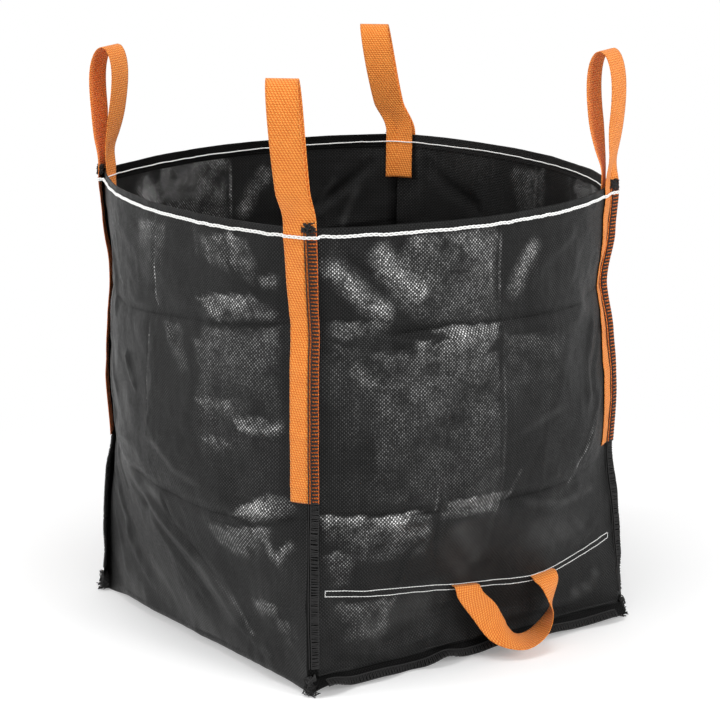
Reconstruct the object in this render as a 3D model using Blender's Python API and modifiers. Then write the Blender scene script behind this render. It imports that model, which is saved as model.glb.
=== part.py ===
"""Garden waste bag: an open, square-based sack of woven tape fabric, filled out as in use.

One long panel makes the left wall, the floor and the right wall. Two side panels close it.
Each of the four upright seams turns its edges outward and lays them to the right, seen from
outside, and a webbing lifting loop is bound into each. The front panel carries a tipping handle.
Metres, +Z up, origin on the floor under the bag's centre, front panel towards -Y.
"""
import math

import bmesh
import bpy
from mathutils import Vector

# Bag, seam to seam
SIDE = 0.500
HEIGHT = 0.580
BASE_ROUNDING = 0.022
ROUND_FROM = 0.250
CORNER_REACH = 0.014

# Cloth and webbing
CLOTH = 0.0008
HEM_CLOTH = 0.0016
HEM_DEPTH = 0.018
WEBBING = 0.0012
WEBBING_WIDTH = 0.038
CLEARANCE = 0.0003
WEBBING_CLEARANCE = 0.0005

# Seam allowances
ALLOWANCE = 0.012
FLANGE = 0.019
FLANGE_LIFT = math.radians(24)
FLANGE_WAVE = math.radians(3)
SEAM_START = 0.060
SEAM_SHARES = [0.3, 0.55, 0.8, 1.0]
FLANGE_SHARES = [1.0, 0.65, 0.3]
FLANGE_REACH = 0.93
THREAD_RADIUS = 0.0013
TOP_KNOT_RADIUS = 0.0029
LOW_KNOT_RADIUS = 0.0025

# Lifting loops
LOOP_HEIGHT = 0.176
LOOP_WIDTH = 0.044
LOOP_ON_FACE = 0.026
LOOP_SEWN = 0.340
LOOP_INSIDE = 0.060
LOOP_FLATTENS = 0.045

# Stitching
RIM_STITCH_DROP = 0.0125
RIM_STITCH_RADIUS = 0.0012
BAND_STITCH_RADIUS = 0.0006
BAND_SPACING = 0.0076
STITCH_CLEARANCE = 0.0008

# Tipping handle on the front panel
BAND_LOW = 0.0895
BAND_LOW_AT = 0.105
BAND_SLOPE = 0.12
BAND_BEND = 0.038
BAND_LEVELS_FROM = 0.72
BAND_LEVELS_OVER = 0.19
SLIT_LENGTH = 0.040
SLIT_GAP = 0.0034
SLIT_LEFT = -0.021
SLIT_RIGHT = 0.107
HANDLE_TAIL = 0.016
BACKING_WIDTH = 0.032
BACKING = 0.0010
SLACK = 0.0018

# Packing folds and drape
FOLD_HIGH = 0.458
FOLD_LOW = 0.218
FOLD_DEPTH = 0.0035
FOLD_HALF = 0.014

LEFT, FRONT, RIGHT, REAR = 3, 0, 1, 2
NORMALS = (Vector((0, -1, 0)), Vector((1, 0, 0)), Vector((0, 1, 0)), Vector((-1, 0, 0)))
CORNERS = {
    # name: (panel left of the seam, seam lift, loop twist, lean along the webbing, lean outward)
    "front": (LEFT, 8, 16, -0.022, 0.000),
    "right": (FRONT, 36, 23, 0.000, 0.000),
    "rear": (RIGHT, 20, 14, 0.030, 0.000),
    "left": (REAR, 12, 29, -0.010, -0.006),
}

HALF = SIDE / 2
HALF_ARC = HALF + 0.010
MEAN_RADIUS = 4 * SIDE / (2 * math.pi)
FOLD_GAP = CLEARANCE
INNER_FOLD = FOLD_GAP + CLOTH
OUTER_CLOTH = INNER_FOLD + CLEARANCE + CLOTH
STRAP_LEVEL = OUTER_CLOTH + WEBBING_CLEARANCE + WEBBING
INSIDE_STRAP = FOLD_GAP + HEM_CLOTH + CLEARANCE


def smooth(t):
    t = min(max(t, 0.0), 1.0)
    return t * t * (3 - 2 * t)


def ripple(t, reach):
    """A smooth ridge of height 1 at t = 0 that ends at reach on both sides."""
    return smooth(1 - abs(t) / reach)


def seam_offset(z):
    """How far the upright seams stand in or out of the plain form at each height."""
    stations = (
        (0.00, 0.000),
        (0.13, 0.003),
        (0.22, -0.001),
        (0.31, 0.004),
        (0.39, 0.001),
        (FOLD_HIGH, -0.008),
        (0.52, -0.001),
        (HEIGHT, 0.004),
    )
    for (z0, d0), (z1, d1) in zip(stations, stations[1:]):
        if z <= z1:
            return d0 + (d1 - d0) * smooth((z - z0) / (z1 - z0))
    return stations[-1][1]


def drape(face, s, z):
    """Folds and sag of the filled cloth on one face, outward positive."""
    middle = 1 - s * s
    depth = -FOLD_DEPTH * ripple(z - FOLD_HIGH, FOLD_HALF) * (0.4 + 0.6 * middle)
    depth -= FOLD_DEPTH * ripple(z - FOLD_LOW, FOLD_HALF) * (0.3 + 0.7 * middle)
    depth -= 0.6 * FOLD_DEPTH * ripple(s, 0.05) * smooth((z - 0.12) / 0.1)
    depth += 0.004 * middle * math.sin(math.pi * (z - FOLD_LOW) / (FOLD_HIGH - FOLD_LOW))
    slant = s + 0.9 * (z - 0.12) / 0.25 * (1 if face in (FRONT, REAR) else -1)
    low = smooth(z / 0.06) * smooth((FOLD_LOW - z) / 0.06)
    return depth + 0.003 * low * math.sin(5.0 * slant + face)


def skin(face, s, z):
    """Outer skin of one face: s runs from -1 at its left seam to 1 at its right seam."""
    outward = NORMALS[face]
    along = Vector((-outward.y, outward.x, 0))
    blend = smooth(z / ROUND_FROM)
    radius = MEAN_RADIUS - CORNER_REACH + 2 * CORNER_REACH * s * s
    angle = math.pi / 4 * s
    reach = (1 - blend) * HALF + blend * radius * math.cos(angle)
    travel = (1 - blend) * HALF * s + blend * radius * math.sin(angle)
    swell = s ** 4 * seam_offset(z) / math.hypot(reach, travel)
    reach += reach * swell + (1 - s ** 4) * drape(face, s, z)
    travel += travel * swell
    return outward * reach + along * travel + Vector((0, 0, z))


def tangent(face, s, z):
    step = 0.01
    low = max(s - step, -1.0)
    high = min(s + step, 1.0)
    return (skin(face, high, z) - skin(face, low, z)).normalized()


def outward_normal(face, s, z):
    across = tangent(face, s, z)
    return Vector((across.y, -across.x, 0)).normalized()


def seam_frame(corner, z):
    """Seam point, both walls' normals, and the directions along and out of the laid allowance."""
    left, lift = CORNERS[corner][0], math.radians(CORNERS[corner][1])
    right = (left + 1) % 4
    point = skin(left, 1, z)
    along = tangent(right, -1, z)
    across = outward_normal(right, -1, z)
    run = along * math.cos(lift) + across * math.sin(lift)
    rise = across * math.cos(lift) - along * math.sin(lift)
    return point, outward_normal(left, 1, z), across, run, rise


def corner_left_of(face):
    return next(name for name, values in CORNERS.items() if (values[0] + 1) % 4 == face)


def corner_right_of(face):
    return next(name for name, values in CORNERS.items() if values[0] == face)


def mitre(point, first, second, level):
    """Where two surfaces meet that stand level proud of one seam line."""
    halfway = (first + second).normalized()
    return point + halfway * level / halfway.dot(first)


def folded_back(seam, wall, run, rise, length, step):
    """Outer surface of an allowance turned back over its own wall: step 0 is its tip."""
    if step == 3:
        return seam - (run + wall).normalized() * FOLD_GAP
    reach = (length, length / 2, 0.0)[step]
    return seam + run * reach + rise * FOLD_GAP


def left_end(face, z, step):
    point, _, _, run, rise = seam_frame(corner_left_of(face), z)
    return folded_back(point, tangent(face, -1, z), run, rise, ALLOWANCE, step)


def right_end(face, z, share, level=OUTER_CLOTH):
    """Surface over a seam: share 0 is at the seam line and 1 at the tip of the laid allowance."""
    point, normal, _, run, rise = seam_frame(corner_right_of(face), z)
    if share == 0:
        return mitre(point, normal, rise, level)
    return point + run * ALLOWANCE * share + rise * level


def flange_frame(face, x):
    """Bottom seam point of a side panel at x, and the directions down and out of its flange."""
    out = NORMALS[face]
    down = Vector((0, 0, -1))
    angle = FLANGE_LIFT + FLANGE_WAVE * math.sin(4 * x / HALF + face)
    run = down * math.cos(angle) + out * math.sin(angle)
    rise = out * math.cos(angle) - down * math.sin(angle)
    return out * HALF + Vector((x, 0, BASE_ROUNDING)), out, run, rise


def wall_offset(s):
    """Each wall starts under its left seam fold and ends over the fold at its right seam."""
    return -FOLD_GAP + (OUTER_CLOTH + FOLD_GAP) * (s + 1) / 2


def wall_point(face, s, z):
    return skin(face, s, z) + outward_normal(face, s, z) * wall_offset(s)


def band_height(x):
    """Height of the handle's sewn band, which sags towards its right slit."""
    run = x - BAND_LOW_AT
    return BAND_LOW + BAND_SLOPE * (math.hypot(run, BAND_BEND) - BAND_BEND)


# Stations shared by the panels
BAND_ROWS_AT_SEAMS = (0.100, 0.118)
EDGE_STATIONS = [
    1 - (1 - math.cos(math.radians(angle))) * BASE_ROUNDING / HALF for angle in (90, 60, 30, 0)
]
LEFT_EDGE_STATIONS = [-s for s in reversed(EDGE_STATIONS)]
MIDDLE_STATIONS = [-0.69, -0.46, -0.23, -0.05, 0.0, 0.05, 0.23, 0.46, 0.69]
ACROSS = LEFT_EDGE_STATIONS + MIDDLE_STATIONS + EDGE_STATIONS
SLIT_ENDS = [
    (x + end * SLIT_LENGTH / 2) / HALF for x in (SLIT_LEFT, SLIT_RIGHT) for end in (-1, 1)
]
BAND_ACROSS = LEFT_EDGE_STATIONS + sorted([-0.69, -0.42, 0.17, 0.71] + SLIT_ENDS) + EDGE_STATIONS
BAND_STATIONS = BAND_ACROSS[3:-3]
REAR_ACROSS = [-s for s in reversed(BAND_ACROSS)]
FACE_STATIONS = {FRONT: BAND_ACROSS, RIGHT: ACROSS, REAR: REAR_ACROSS, LEFT: ACROSS}
UP_THE_WALL = [
    BASE_ROUNDING,
    0.048,
    0.074,
    *BAND_ROWS_AT_SEAMS,
    0.138,
    0.168,
    FOLD_LOW - FOLD_HALF,
    FOLD_LOW,
    FOLD_LOW + FOLD_HALF,
    HEIGHT - LOOP_SEWN,
    0.295,
    0.350,
    0.395,
    0.422,
    FOLD_HIGH - FOLD_HALF,
    FOLD_HIGH,
    FOLD_HIGH + FOLD_HALF,
    HEIGHT - LOOP_INSIDE,
    HEIGHT - HEM_DEPTH - 0.002,
    HEIGHT - HEM_DEPTH,
    HEIGHT,
]


def material(name, colour, roughness):
    made = bpy.data.materials.new(name)
    made.use_nodes = True
    shader = made.node_tree.nodes["Principled BSDF"]
    shader.inputs["Base Color"].default_value = (*colour, 1)
    shader.inputs["Roughness"].default_value = roughness
    shader.inputs["Metallic"].default_value = 0
    made.diffuse_color = (*colour, 1)
    return made


def sheet(name, place, columns, rows, thickness, finish, missing=None, thin=None, turn_over=False):
    """A grid bent to place(column, row), with its faces outward, thickened inward.

    missing(column, row) is true for cells that are notched or slit away. thin(column, row) is
    the share of the thickness at each point.
    """
    bm = bmesh.new()
    bmesh.ops.create_grid(bm, x_segments=columns, y_segments=rows, size=1)
    corners = {}
    for vert in bm.verts:
        corners[vert] = (round((vert.co.x + 1) / 2 * columns), round((vert.co.y + 1) / 2 * rows))
    holes = []
    for cell in bm.faces:
        key = (min(corners[v][0] for v in cell.verts), min(corners[v][1] for v in cell.verts))
        if missing and missing(*key):
            holes.append(cell)
    bmesh.ops.delete(bm, geom=holes, context="FACES")
    for vert in bm.verts:
        vert.co = place(*corners[vert])
    if turn_over:
        bmesh.ops.reverse_faces(bm, faces=bm.faces[:])
    shares = [thin(*corners[vert]) if thin else 1.0 for vert in bm.verts]
    mesh = bpy.data.meshes.new(name)
    bm.to_mesh(mesh)
    bm.free()
    mesh.materials.append(finish)
    mesh.shade_smooth()
    made = bpy.data.objects.new(name, mesh)
    parts.objects.link(made)
    wall = made.modifiers.new("Cloth thickness", "SOLIDIFY")
    wall.thickness = thickness
    wall.offset = -1
    wall.use_even_offset = True
    if thin:
        group = made.vertex_groups.new(name="thickness")
        for index, share in enumerate(shares):
            group.add([index], share, "REPLACE")
        wall.vertex_group = group.name
    return made


def thread(name, points, radius, finish, closed=False, knots=None):
    """A thread as a filled tube along a smooth list of points."""
    data = bpy.data.curves.new(name, "CURVE")
    data.dimensions = "3D"
    data.bevel_depth = radius
    data.bevel_resolution = 0 if closed else 1
    data.use_fill_caps = not closed
    spline = data.splines.new("POLY")
    spline.points.add(len(points) - 1)
    spline.use_cyclic_u = closed
    for index, point in enumerate(points):
        spline.points[index].co = (*point, 1)
        spline.points[index].radius = knots[index] if knots else 1.0
    data.materials.append(finish)
    made = bpy.data.objects.new(name, data)
    parts.objects.link(made)
    return made


def hem_share(s, z):
    """Share of the hem's double cloth: full in the hem, single below it and at the seams."""
    if z >= HEIGHT - HEM_DEPTH and abs(s) < 0.96:
        return 1.0
    return CLOTH / HEM_CLOTH


def side_panel(name, face, across, band=False):
    """A side wall with its seam allowances and the flange that hangs at its bottom seam."""
    columns = [None] * 4 + across + [None] * 4
    last = len(columns) - 5
    heights = list(UP_THE_WALL)
    below = len(FLANGE_SHARES)
    rows = len(heights) - 1 + below
    low_rows = sum(z < SEAM_START for z in heights)
    way = -NORMALS[face].y

    def height_at(row, s):
        index = max(row - below, 0)
        return front_rows(s)[index] if band else heights[index]

    def wall(column, z):
        s = columns[column]
        at_seam = smooth(1 - (z - BASE_ROUNDING) / 0.03)
        offset = wall_offset(s) + (OUTER_CLOTH - wall_offset(s)) * at_seam
        return skin(face, s, z) + outward_normal(face, s, z) * offset

    def flange(column, share):
        seam, out, run, rise = flange_frame(face, columns[column] * HALF * way)
        if share == 0:
            return mitre(seam, out, rise, OUTER_CLOTH)
        return seam + run * FLANGE * share + rise * OUTER_CLOTH

    def place(column, row):
        inner = min(max(column, 4), last)
        if row <= below:
            return flange(inner, (FLANGE_SHARES + [0])[row])
        z = height_at(row, columns[inner])
        if column < 4:
            return left_end(face, z, column)
        if column == last and z > SEAM_START:
            return right_end(face, z, 0)
        if column > last:
            return right_end(face, z, SEAM_SHARES[column - last - 1])
        return wall(column, z)

    def missing(column, row):
        if column < 4 or column >= last:
            return row < below + low_rows
        middle = (columns[column] + columns[column + 1]) / 2
        if row < below:
            return abs(middle) > FLANGE_REACH
        if band and heights[row - below] == BAND_ROWS_AT_SEAMS[0]:
            return any(abs(middle - x / HALF) < 0.01 for x in (SLIT_LEFT, SLIT_RIGHT))
        return False

    def thin(column, row):
        if not 4 <= column <= last or row < below:
            return CLOTH / HEM_CLOTH
        return hem_share(columns[column], height_at(row, 0))

    return sheet(name, place, len(columns) - 1, rows, HEM_CLOTH, cloth, missing, thin)


def long_panel():
    """Left wall, floor and right wall in one length of cloth."""
    columns = [None] * 4 + ACROSS + [None] * 4
    round_steps = (30, 60, 90)
    floor_stations = [s for s in BAND_ACROSS if abs(s) < EDGE_STATIONS[0]]
    rows = [("left", z) for z in reversed(UP_THE_WALL)]
    rows += [("turn left", math.radians(a)) for a in round_steps]
    rows += [("floor", share * HALF) for share in floor_stations]
    rows += [("turn right", math.radians(a)) for a in reversed(round_steps)]
    rows += [("right", z) for z in UP_THE_WALL]

    def floor_height(x, y):
        inner = HALF - BASE_ROUNDING
        over = math.hypot(max(abs(x) - inner, 0), max(abs(y) - inner, 0))
        return BASE_ROUNDING - math.sqrt(max(BASE_ROUNDING ** 2 - over ** 2, 0))

    def bottom(column, x, side):
        """Floor or its rounded ends: x is the plain position, side the wall it turns into."""
        y = -HALF * columns[column]
        z = floor_height(x, y)
        proud = wall_offset(columns[column] * -side) if side else 0
        turn_share = max(abs(x) - (HALF - BASE_ROUNDING), 0) / BASE_ROUNDING
        x += side * proud * turn_share
        if abs(y) > HALF - CLEARANCE:
            y -= math.copysign(FOLD_GAP, y)
        return Vector((x, y, z))

    def flange(column, x):
        step = column if column < 4 else len(columns) - 1 - column
        seam, _, run, rise = flange_frame(REAR if column < 4 else FRONT, x)
        return folded_back(seam, Vector((0, 0, -1)), run, rise, FLANGE, step)

    def place(column, row):
        kind, value = rows[row]
        inner = min(max(column, 4), len(columns) - 5)
        at_end = column != inner
        s = columns[inner]
        if kind in ("left", "right"):
            face = LEFT if kind == "left" else RIGHT
            mirrored = -1 if kind == "right" else 1
            if not at_end:
                if s * mirrored == 1 and value > SEAM_START:
                    return right_end(face, value, 0)
                return wall_point(face, s * mirrored, value)
            from_tip = column if column < 4 else len(columns) - 1 - column
            is_left_end = (column < 4) == (face == LEFT)
            if is_left_end:
                return left_end(face, value, from_tip)
            return right_end(face, value, SEAM_SHARES[3 - from_tip])
        side = {"floor": 0, "turn left": -1, "turn right": 1}[kind]
        x = value if kind == "floor" else side * (HALF - BASE_ROUNDING * (1 - math.cos(value)))
        return flange(column, x) if at_end else bottom(column, x, side)

    walls = len(UP_THE_WALL)
    low_rows = sum(z < SEAM_START for z in UP_THE_WALL)
    turns = len(round_steps)
    first_floor = walls + turns - 1
    last_floor = walls + turns + len(floor_stations)

    def missing(column, row):
        if 4 <= column < len(columns) - 5:
            return False
        on_floor = first_floor <= row < last_floor
        on_left = row < walls - 1 - low_rows
        on_right = row > len(rows) - 1 - walls + low_rows
        return not (on_floor or on_left or on_right)

    def thin(column, row):
        kind, value = rows[row]
        if kind in ("left", "right") and 4 <= column <= len(columns) - 5:
            return hem_share(columns[column], value)
        return CLOTH / HEM_CLOTH

    size = (len(columns) - 1, len(rows) - 1)
    return sheet("long_panel", place, *size, HEM_CLOTH, cloth, missing, thin, turn_over=True)


def turned(vector, angle):
    cosine, sine = math.cos(angle), math.sin(angle)
    return Vector((vector.x * cosine - vector.y * sine, vector.x * sine + vector.y * cosine, 0))


def lifting_loop(corner):
    """One webbing: sewn up the seam outside, over in a tall loop, and down inside the rim."""
    face, _, twist, lean_along, lean_out = CORNERS[corner]
    bound = WEBBING_WIDTH - LOOP_ON_FACE
    across = [-LOOP_ON_FACE, -LOOP_ON_FACE / 2, 0.0, bound * 0.4, bound]
    middle = WEBBING_WIDTH / 2 - LOOP_ON_FACE
    sewn_heights = [z for z in UP_THE_WALL if z >= HEIGHT - LOOP_SEWN]
    inside_heights = [z for z in reversed(UP_THE_WALL) if z >= HEIGHT - LOOP_INSIDE]
    sewn_rows = len(sewn_heights) - 1
    loop_rows = 18
    inside_rows = len(inside_heights) - 1
    diagonal = (NORMALS[face] + NORMALS[(face + 1) % 4]).normalized()

    def outside(column, z):
        if column >= 2:
            return right_end(face, z, across[column] / ALLOWANCE, STRAP_LEVEL)
        s = 1 + across[column] / HALF_ARC
        level = STRAP_LEVEL - OUTER_CLOTH
        return skin(face, s, z) + outward_normal(face, s, z) * (wall_offset(s) + level)

    def inside(column, z):
        share = across[column] / HALF_ARC
        wall, s = (face, 1 + share) if share < 0 else ((face + 1) % 4, -1 + share)
        return skin(wall, s, z) - outward_normal(wall, s, z) * (INSIDE_STRAP + WEBBING)

    def free(column, phase):
        rise = (1 - math.cos(phase)) / 2
        out = turned(diagonal, -math.radians(twist) * smooth(rise * 2))
        along = turned(out, math.pi / 2)
        bulge = LOOP_WIDTH / 2 * math.sin(phase) * math.sin(phase / 2)
        level = (STRAP_LEVEL + INSIDE_STRAP + WEBBING) / 2
        apart = level * math.cos(phase / 2) + STRAP_LEVEL - level
        centre = skin(face, 1, HEIGHT) + out * (bulge + apart + lean_out * rise)
        centre += along * (middle + lean_along * smooth(rise))
        return centre + along * (across[column] - middle) + Vector((0, 0, LOOP_HEIGHT * rise))

    def place(column, row):
        if row <= sewn_rows:
            return outside(column, sewn_heights[row])
        if row >= sewn_rows + loop_rows:
            return inside(column, inside_heights[row - sewn_rows - loop_rows])
        phase = 2 * math.pi * (row - sewn_rows) / loop_rows
        point = free(column, phase)
        rise = LOOP_HEIGHT * (1 - math.cos(phase)) / 2
        settled = smooth(rise / LOOP_FLATTENS)
        start = outside(column, HEIGHT) if phase < math.pi else inside(column, HEIGHT)
        start = start + Vector((0, 0, rise))
        return start.lerp(point, settled)

    rows = sewn_rows + loop_rows + inside_rows
    return sheet("lifting_loop_" + corner, place, len(across) - 1, rows, WEBBING, webbing)


def front_rows(s):
    """Row heights of the front panel at s: two rows follow the sewn band and edge the slits."""
    on_band = [band_height(s * HALF) + side * SLIT_GAP / 2 for side in (-1, 1)]
    level = smooth((abs(s) - BAND_LEVELS_FROM) / BAND_LEVELS_OVER)
    heights = list(UP_THE_WALL)
    for z, wanted in zip(BAND_ROWS_AT_SEAMS, on_band):
        heights[heights.index(z)] = wanted + (z - wanted) * level
    return heights


def front_surface(x, z, proud):
    """Point standing proud of the front panel between two of its rows."""
    s = x / HALF
    heights = front_rows(s)
    upper = next(index for index, height in enumerate(heights) if height >= z)
    low, high = heights[upper - 1], heights[upper]
    flat = wall_point(FRONT, s, low).lerp(wall_point(FRONT, s, high), (z - low) / (high - low))
    return flat + outward_normal(FRONT, s, z) * proud


def blended(values, position):
    """Point of a smooth curve through the values at a fractional position."""
    index = min(int(position), len(values) - 2)
    part = position - index
    before = values[max(index - 1, 0)]
    start, end = values[index], values[index + 1]
    after = values[min(index + 2, len(values) - 1)]
    square, cube = part * part, part ** 3
    return (
        start
        + (end - before) * 0.5 * (part - 2 * square + cube)
        + (end - start) * (3 * square - 2 * cube)
        + (after - start) * 0.5 * (cube - square)
    )


def tipping_handle():
    """Webbing with a tail behind the panel at each slit and a loop that hangs outside."""
    left, right = SLIT_LEFT, SLIT_RIGHT
    top_left, top_right = band_height(left), band_height(right)
    half = WEBBING_WIDTH / 2
    behind = -(CLOTH + SLACK)
    edge = SLIT_GAP / 2
    # height over the band's middle line, and how proud of the panel
    through = (
        (HANDLE_TAIL, behind),
        (edge + 0.0013, behind),
        (edge - 0.00025, behind + 0.0001),
        (edge - 0.00035, -CLOTH / 2),
        (edge - 0.00035, 0.0010),
    )
    # centre x, height, proud of the panel, and the direction of the webbing's width
    hanging = (
        (left, top_left + 0.0018, 0.0035, (1, 0, -0.11)),
        (left + 0.001, top_left + 0.0002, 0.008, (1, 0, -0.11)),
        (left + 0.004, top_left - 0.013, 0.016, (1, -0.10, -0.10)),
        (left + 0.012, top_left - 0.038, 0.026, (0.96, -0.25, -0.12)),
        (left + 0.027, top_left - 0.062, 0.035, (0.80, -0.58, -0.10)),
        (left + 0.052, top_left - 0.0755, 0.041, (0.30, -0.80, -0.45)),
        (left + 0.080, top_left - 0.069, 0.040, (-0.18, -0.80, -0.55)),
        (left + 0.104, top_left - 0.049, 0.034, (-0.55, -0.75, -0.30)),
        (right + 0.001, top_right - 0.016, 0.024, (-0.85, -0.45, -0.10)),
        (right + 0.001, top_right + 0.0002, 0.010, (-1, -0.06, -0.04)),
        (right, top_right + 0.0018, 0.0035, (-1, 0, 0)),
    )
    points = [front_surface(x, z, proud) for x, z, proud, _ in hanging]
    widths = [Vector(width).normalized() for *_, width in hanging]
    per_span = 2
    spans = (len(hanging) - 1) * per_span

    def along_slit(x, up, proud, direction):
        first, second = (
            front_surface(x + side * half, band_height(x + side * half) + up, proud)
            for side in (-direction, direction)
        )
        return (first + second) / 2, (second - first).normalized()

    rows = [along_slit(left, up, proud, 1) for up, proud in through]
    for step in range(spans + 1):
        position = step / per_span
        rows.append((blended(points, position), blended(widths, position).normalized()))
    rows += [along_slit(right, up, proud, -1) for up, proud in reversed(through)]

    def place(column, row):
        centre, width = rows[row]
        return centre + width * half * (column - 1)

    return sheet("tipping_handle", place, 2, len(rows) - 1, WEBBING, webbing, turn_over=True)


def backing_strip():
    """Strip of webbing inside the front panel behind the handle's sewn band."""
    level = CLOTH + SLACK + WEBBING + CLEARANCE

    def place(column, row):
        x = BAND_STATIONS[column] * HALF
        z = band_height(x) + BACKING_WIDTH * (row / 2 - 0.4)
        return front_surface(x, z, -level)

    return sheet("handle_backing_strip", place, len(BAND_STATIONS) - 1, 2, BACKING, webbing)


def band_stitch():
    """Closed narrow rectangle of stitching through the front panel along the band."""
    proud = STITCH_CLEARANCE + BAND_STITCH_RADIUS
    points = []
    for direction in (1, -1):
        for s in BAND_STATIONS[::direction]:
            z = band_height(s * HALF) - direction * BAND_SPACING / 2
            points.append(front_surface(s * HALF, z, proud))
    return thread("band_stitch", points, BAND_STITCH_RADIUS, white_thread, closed=True)


def rim_stitch(name, inside):
    """Chain stitch round the rim, over cloth, webbing and laid allowances alike."""
    z = HEIGHT - RIM_STITCH_DROP
    lift = STITCH_CLEARANCE + RIM_STITCH_RADIUS
    strap_starts = 1 - (LOOP_ON_FACE + 0.003) / HALF_ARC
    inner_strap_ends = -1 + (WEBBING_WIDTH - LOOP_ON_FACE + 0.004) / HALF_ARC
    after_tip = -1 + (ALLOWANCE + 0.007) / HALF_ARC
    points = []
    for face in (FRONT, RIGHT, REAR, LEFT):
        if inside:
            for s in [-0.99] + FACE_STATIONS[face][1:-1] + [0.99]:
                over_strap = s < inner_strap_ends or s > strap_starts
                depth = INSIDE_STRAP + (WEBBING + lift if over_strap else RIM_STITCH_RADIUS)
                points.append(skin(face, s, z) - outward_normal(face, s, z) * depth)
            continue
        plain = [s for s in FACE_STATIONS[face] if after_tip + 0.02 < s < strap_starts - 0.04]
        for s in [after_tip] + plain + [strap_starts - 0.02]:
            points.append(wall_point(face, s, z) + outward_normal(face, s, z) * lift)
        for s in (strap_starts, 0.94, 0.975):
            level = wall_offset(s) + STRAP_LEVEL - OUTER_CLOTH + lift
            points.append(skin(face, s, z) + outward_normal(face, s, z) * level)
        for share in (0, 0.45, 0.9):
            points.append(right_end(face, z, share, STRAP_LEVEL + lift))
        point, _, _, run, rise = seam_frame(corner_right_of(face), z)
        points.append(point + run * (ALLOWANCE + 0.0036) + rise * (STRAP_LEVEL + lift))
    return thread(name, points, RIM_STITCH_RADIUS, white_thread, closed=True)


def corner_overlock(corner):
    """Thread over the edges of an upright seam, knotted at both ends."""
    heights = [z for z in UP_THE_WALL if z > SEAM_START]
    low, high = heights[0], heights[-1]
    stations = [(low - 0.012, THREAD_RADIUS / 2), (low - 0.006, LOW_KNOT_RADIUS)]
    stations += [(z, THREAD_RADIUS) for z in heights]
    stations += [(high + 0.005, TOP_KNOT_RADIUS), (high + 0.010, THREAD_RADIUS / 2)]
    points = []
    for z, radius in stations:
        point, _, _, run, rise = seam_frame(corner, z)
        swell = max(radius, THREAD_RADIUS)
        reach = ALLOWANCE + CLEARANCE + swell
        points.append(point + run * reach + rise * (STRAP_LEVEL / 2 + swell - THREAD_RADIUS))
    sizes = [radius / THREAD_RADIUS for _, radius in stations]
    return thread("corner_overlock_" + corner, points, THREAD_RADIUS, black_thread, knots=sizes)


def bottom_overlock(name, face):
    """Thread over the edges of the hanging flange of a bottom seam."""
    points = []
    for s in BAND_ACROSS:
        if abs(s) < FLANGE_REACH:
            seam, _, run, rise = flange_frame(face, s * HALF)
            points.append(seam + run * (FLANGE + CLEARANCE + THREAD_RADIUS) + rise * OUTER_CLOTH / 2)
    return thread(name, points, THREAD_RADIUS, black_thread)


for old in list(bpy.data.objects):
    bpy.data.objects.remove(old)

parts = bpy.data.collections.new("garden_waste_bag")
bpy.context.scene.collection.children.link(parts)

cloth = material("black_woven_cloth", (0.018, 0.018, 0.020), 0.45)
webbing = material("orange_webbing", (0.86, 0.27, 0.05), 0.80)
white_thread = material("white_thread", (0.85, 0.85, 0.83), 0.70)
black_thread = material("black_thread", (0.012, 0.012, 0.013), 0.75)

long_panel()
side_panel("front_panel", FRONT, BAND_ACROSS, band=True)
side_panel("rear_panel", REAR, REAR_ACROSS)
for corner_name in CORNERS:
    lifting_loop(corner_name)
    corner_overlock(corner_name)
tipping_handle()
backing_strip()
band_stitch()
rim_stitch("rim_stitch_outer", inside=False)
rim_stitch("rim_stitch_inner", inside=True)
bottom_overlock("bottom_overlock_front", FRONT)
bottom_overlock("bottom_overlock_rear", REAR)
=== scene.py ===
# %% [markdown]
# # Garden waste bag
#
# An open, square-based bag woven from flat black plastic tape. Orange webbing is bound into its
# four corners and stands up in tall lifting loops, and a shorter handle low on the front panel
# is for tipping it out. We load the solid model first, because every piece built here lies on
# it.

# %% Load the solid model
import math

import bmesh
import bpy
import numpy as np
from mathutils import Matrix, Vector


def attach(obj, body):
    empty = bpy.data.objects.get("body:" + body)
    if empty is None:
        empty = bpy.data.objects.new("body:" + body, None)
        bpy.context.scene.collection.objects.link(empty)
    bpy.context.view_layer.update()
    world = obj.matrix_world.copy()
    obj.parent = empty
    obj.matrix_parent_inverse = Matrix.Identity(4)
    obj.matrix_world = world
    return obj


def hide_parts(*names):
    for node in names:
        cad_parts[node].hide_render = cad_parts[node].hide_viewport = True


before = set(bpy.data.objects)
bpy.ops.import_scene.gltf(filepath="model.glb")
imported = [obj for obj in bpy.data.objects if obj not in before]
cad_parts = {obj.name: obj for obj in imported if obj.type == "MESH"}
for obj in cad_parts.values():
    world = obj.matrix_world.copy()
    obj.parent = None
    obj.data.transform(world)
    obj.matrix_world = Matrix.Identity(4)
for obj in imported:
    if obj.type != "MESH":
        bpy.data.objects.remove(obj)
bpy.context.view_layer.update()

# %% [markdown]
# ## Camera
#
# The bag is seen a little from above and from the left of its front panel. A long lens keeps the
# upright seams nearly parallel. The camera is placed first, so that each later step can be looked
# at through it.

# %% Camera
AZIMUTH = math.radians(-35.4)
ELEVATION = math.radians(14.3)
DISTANCE = 3.85
AIM_RIGHT = 0.0035
AIM_UP = 0.3255

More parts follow.
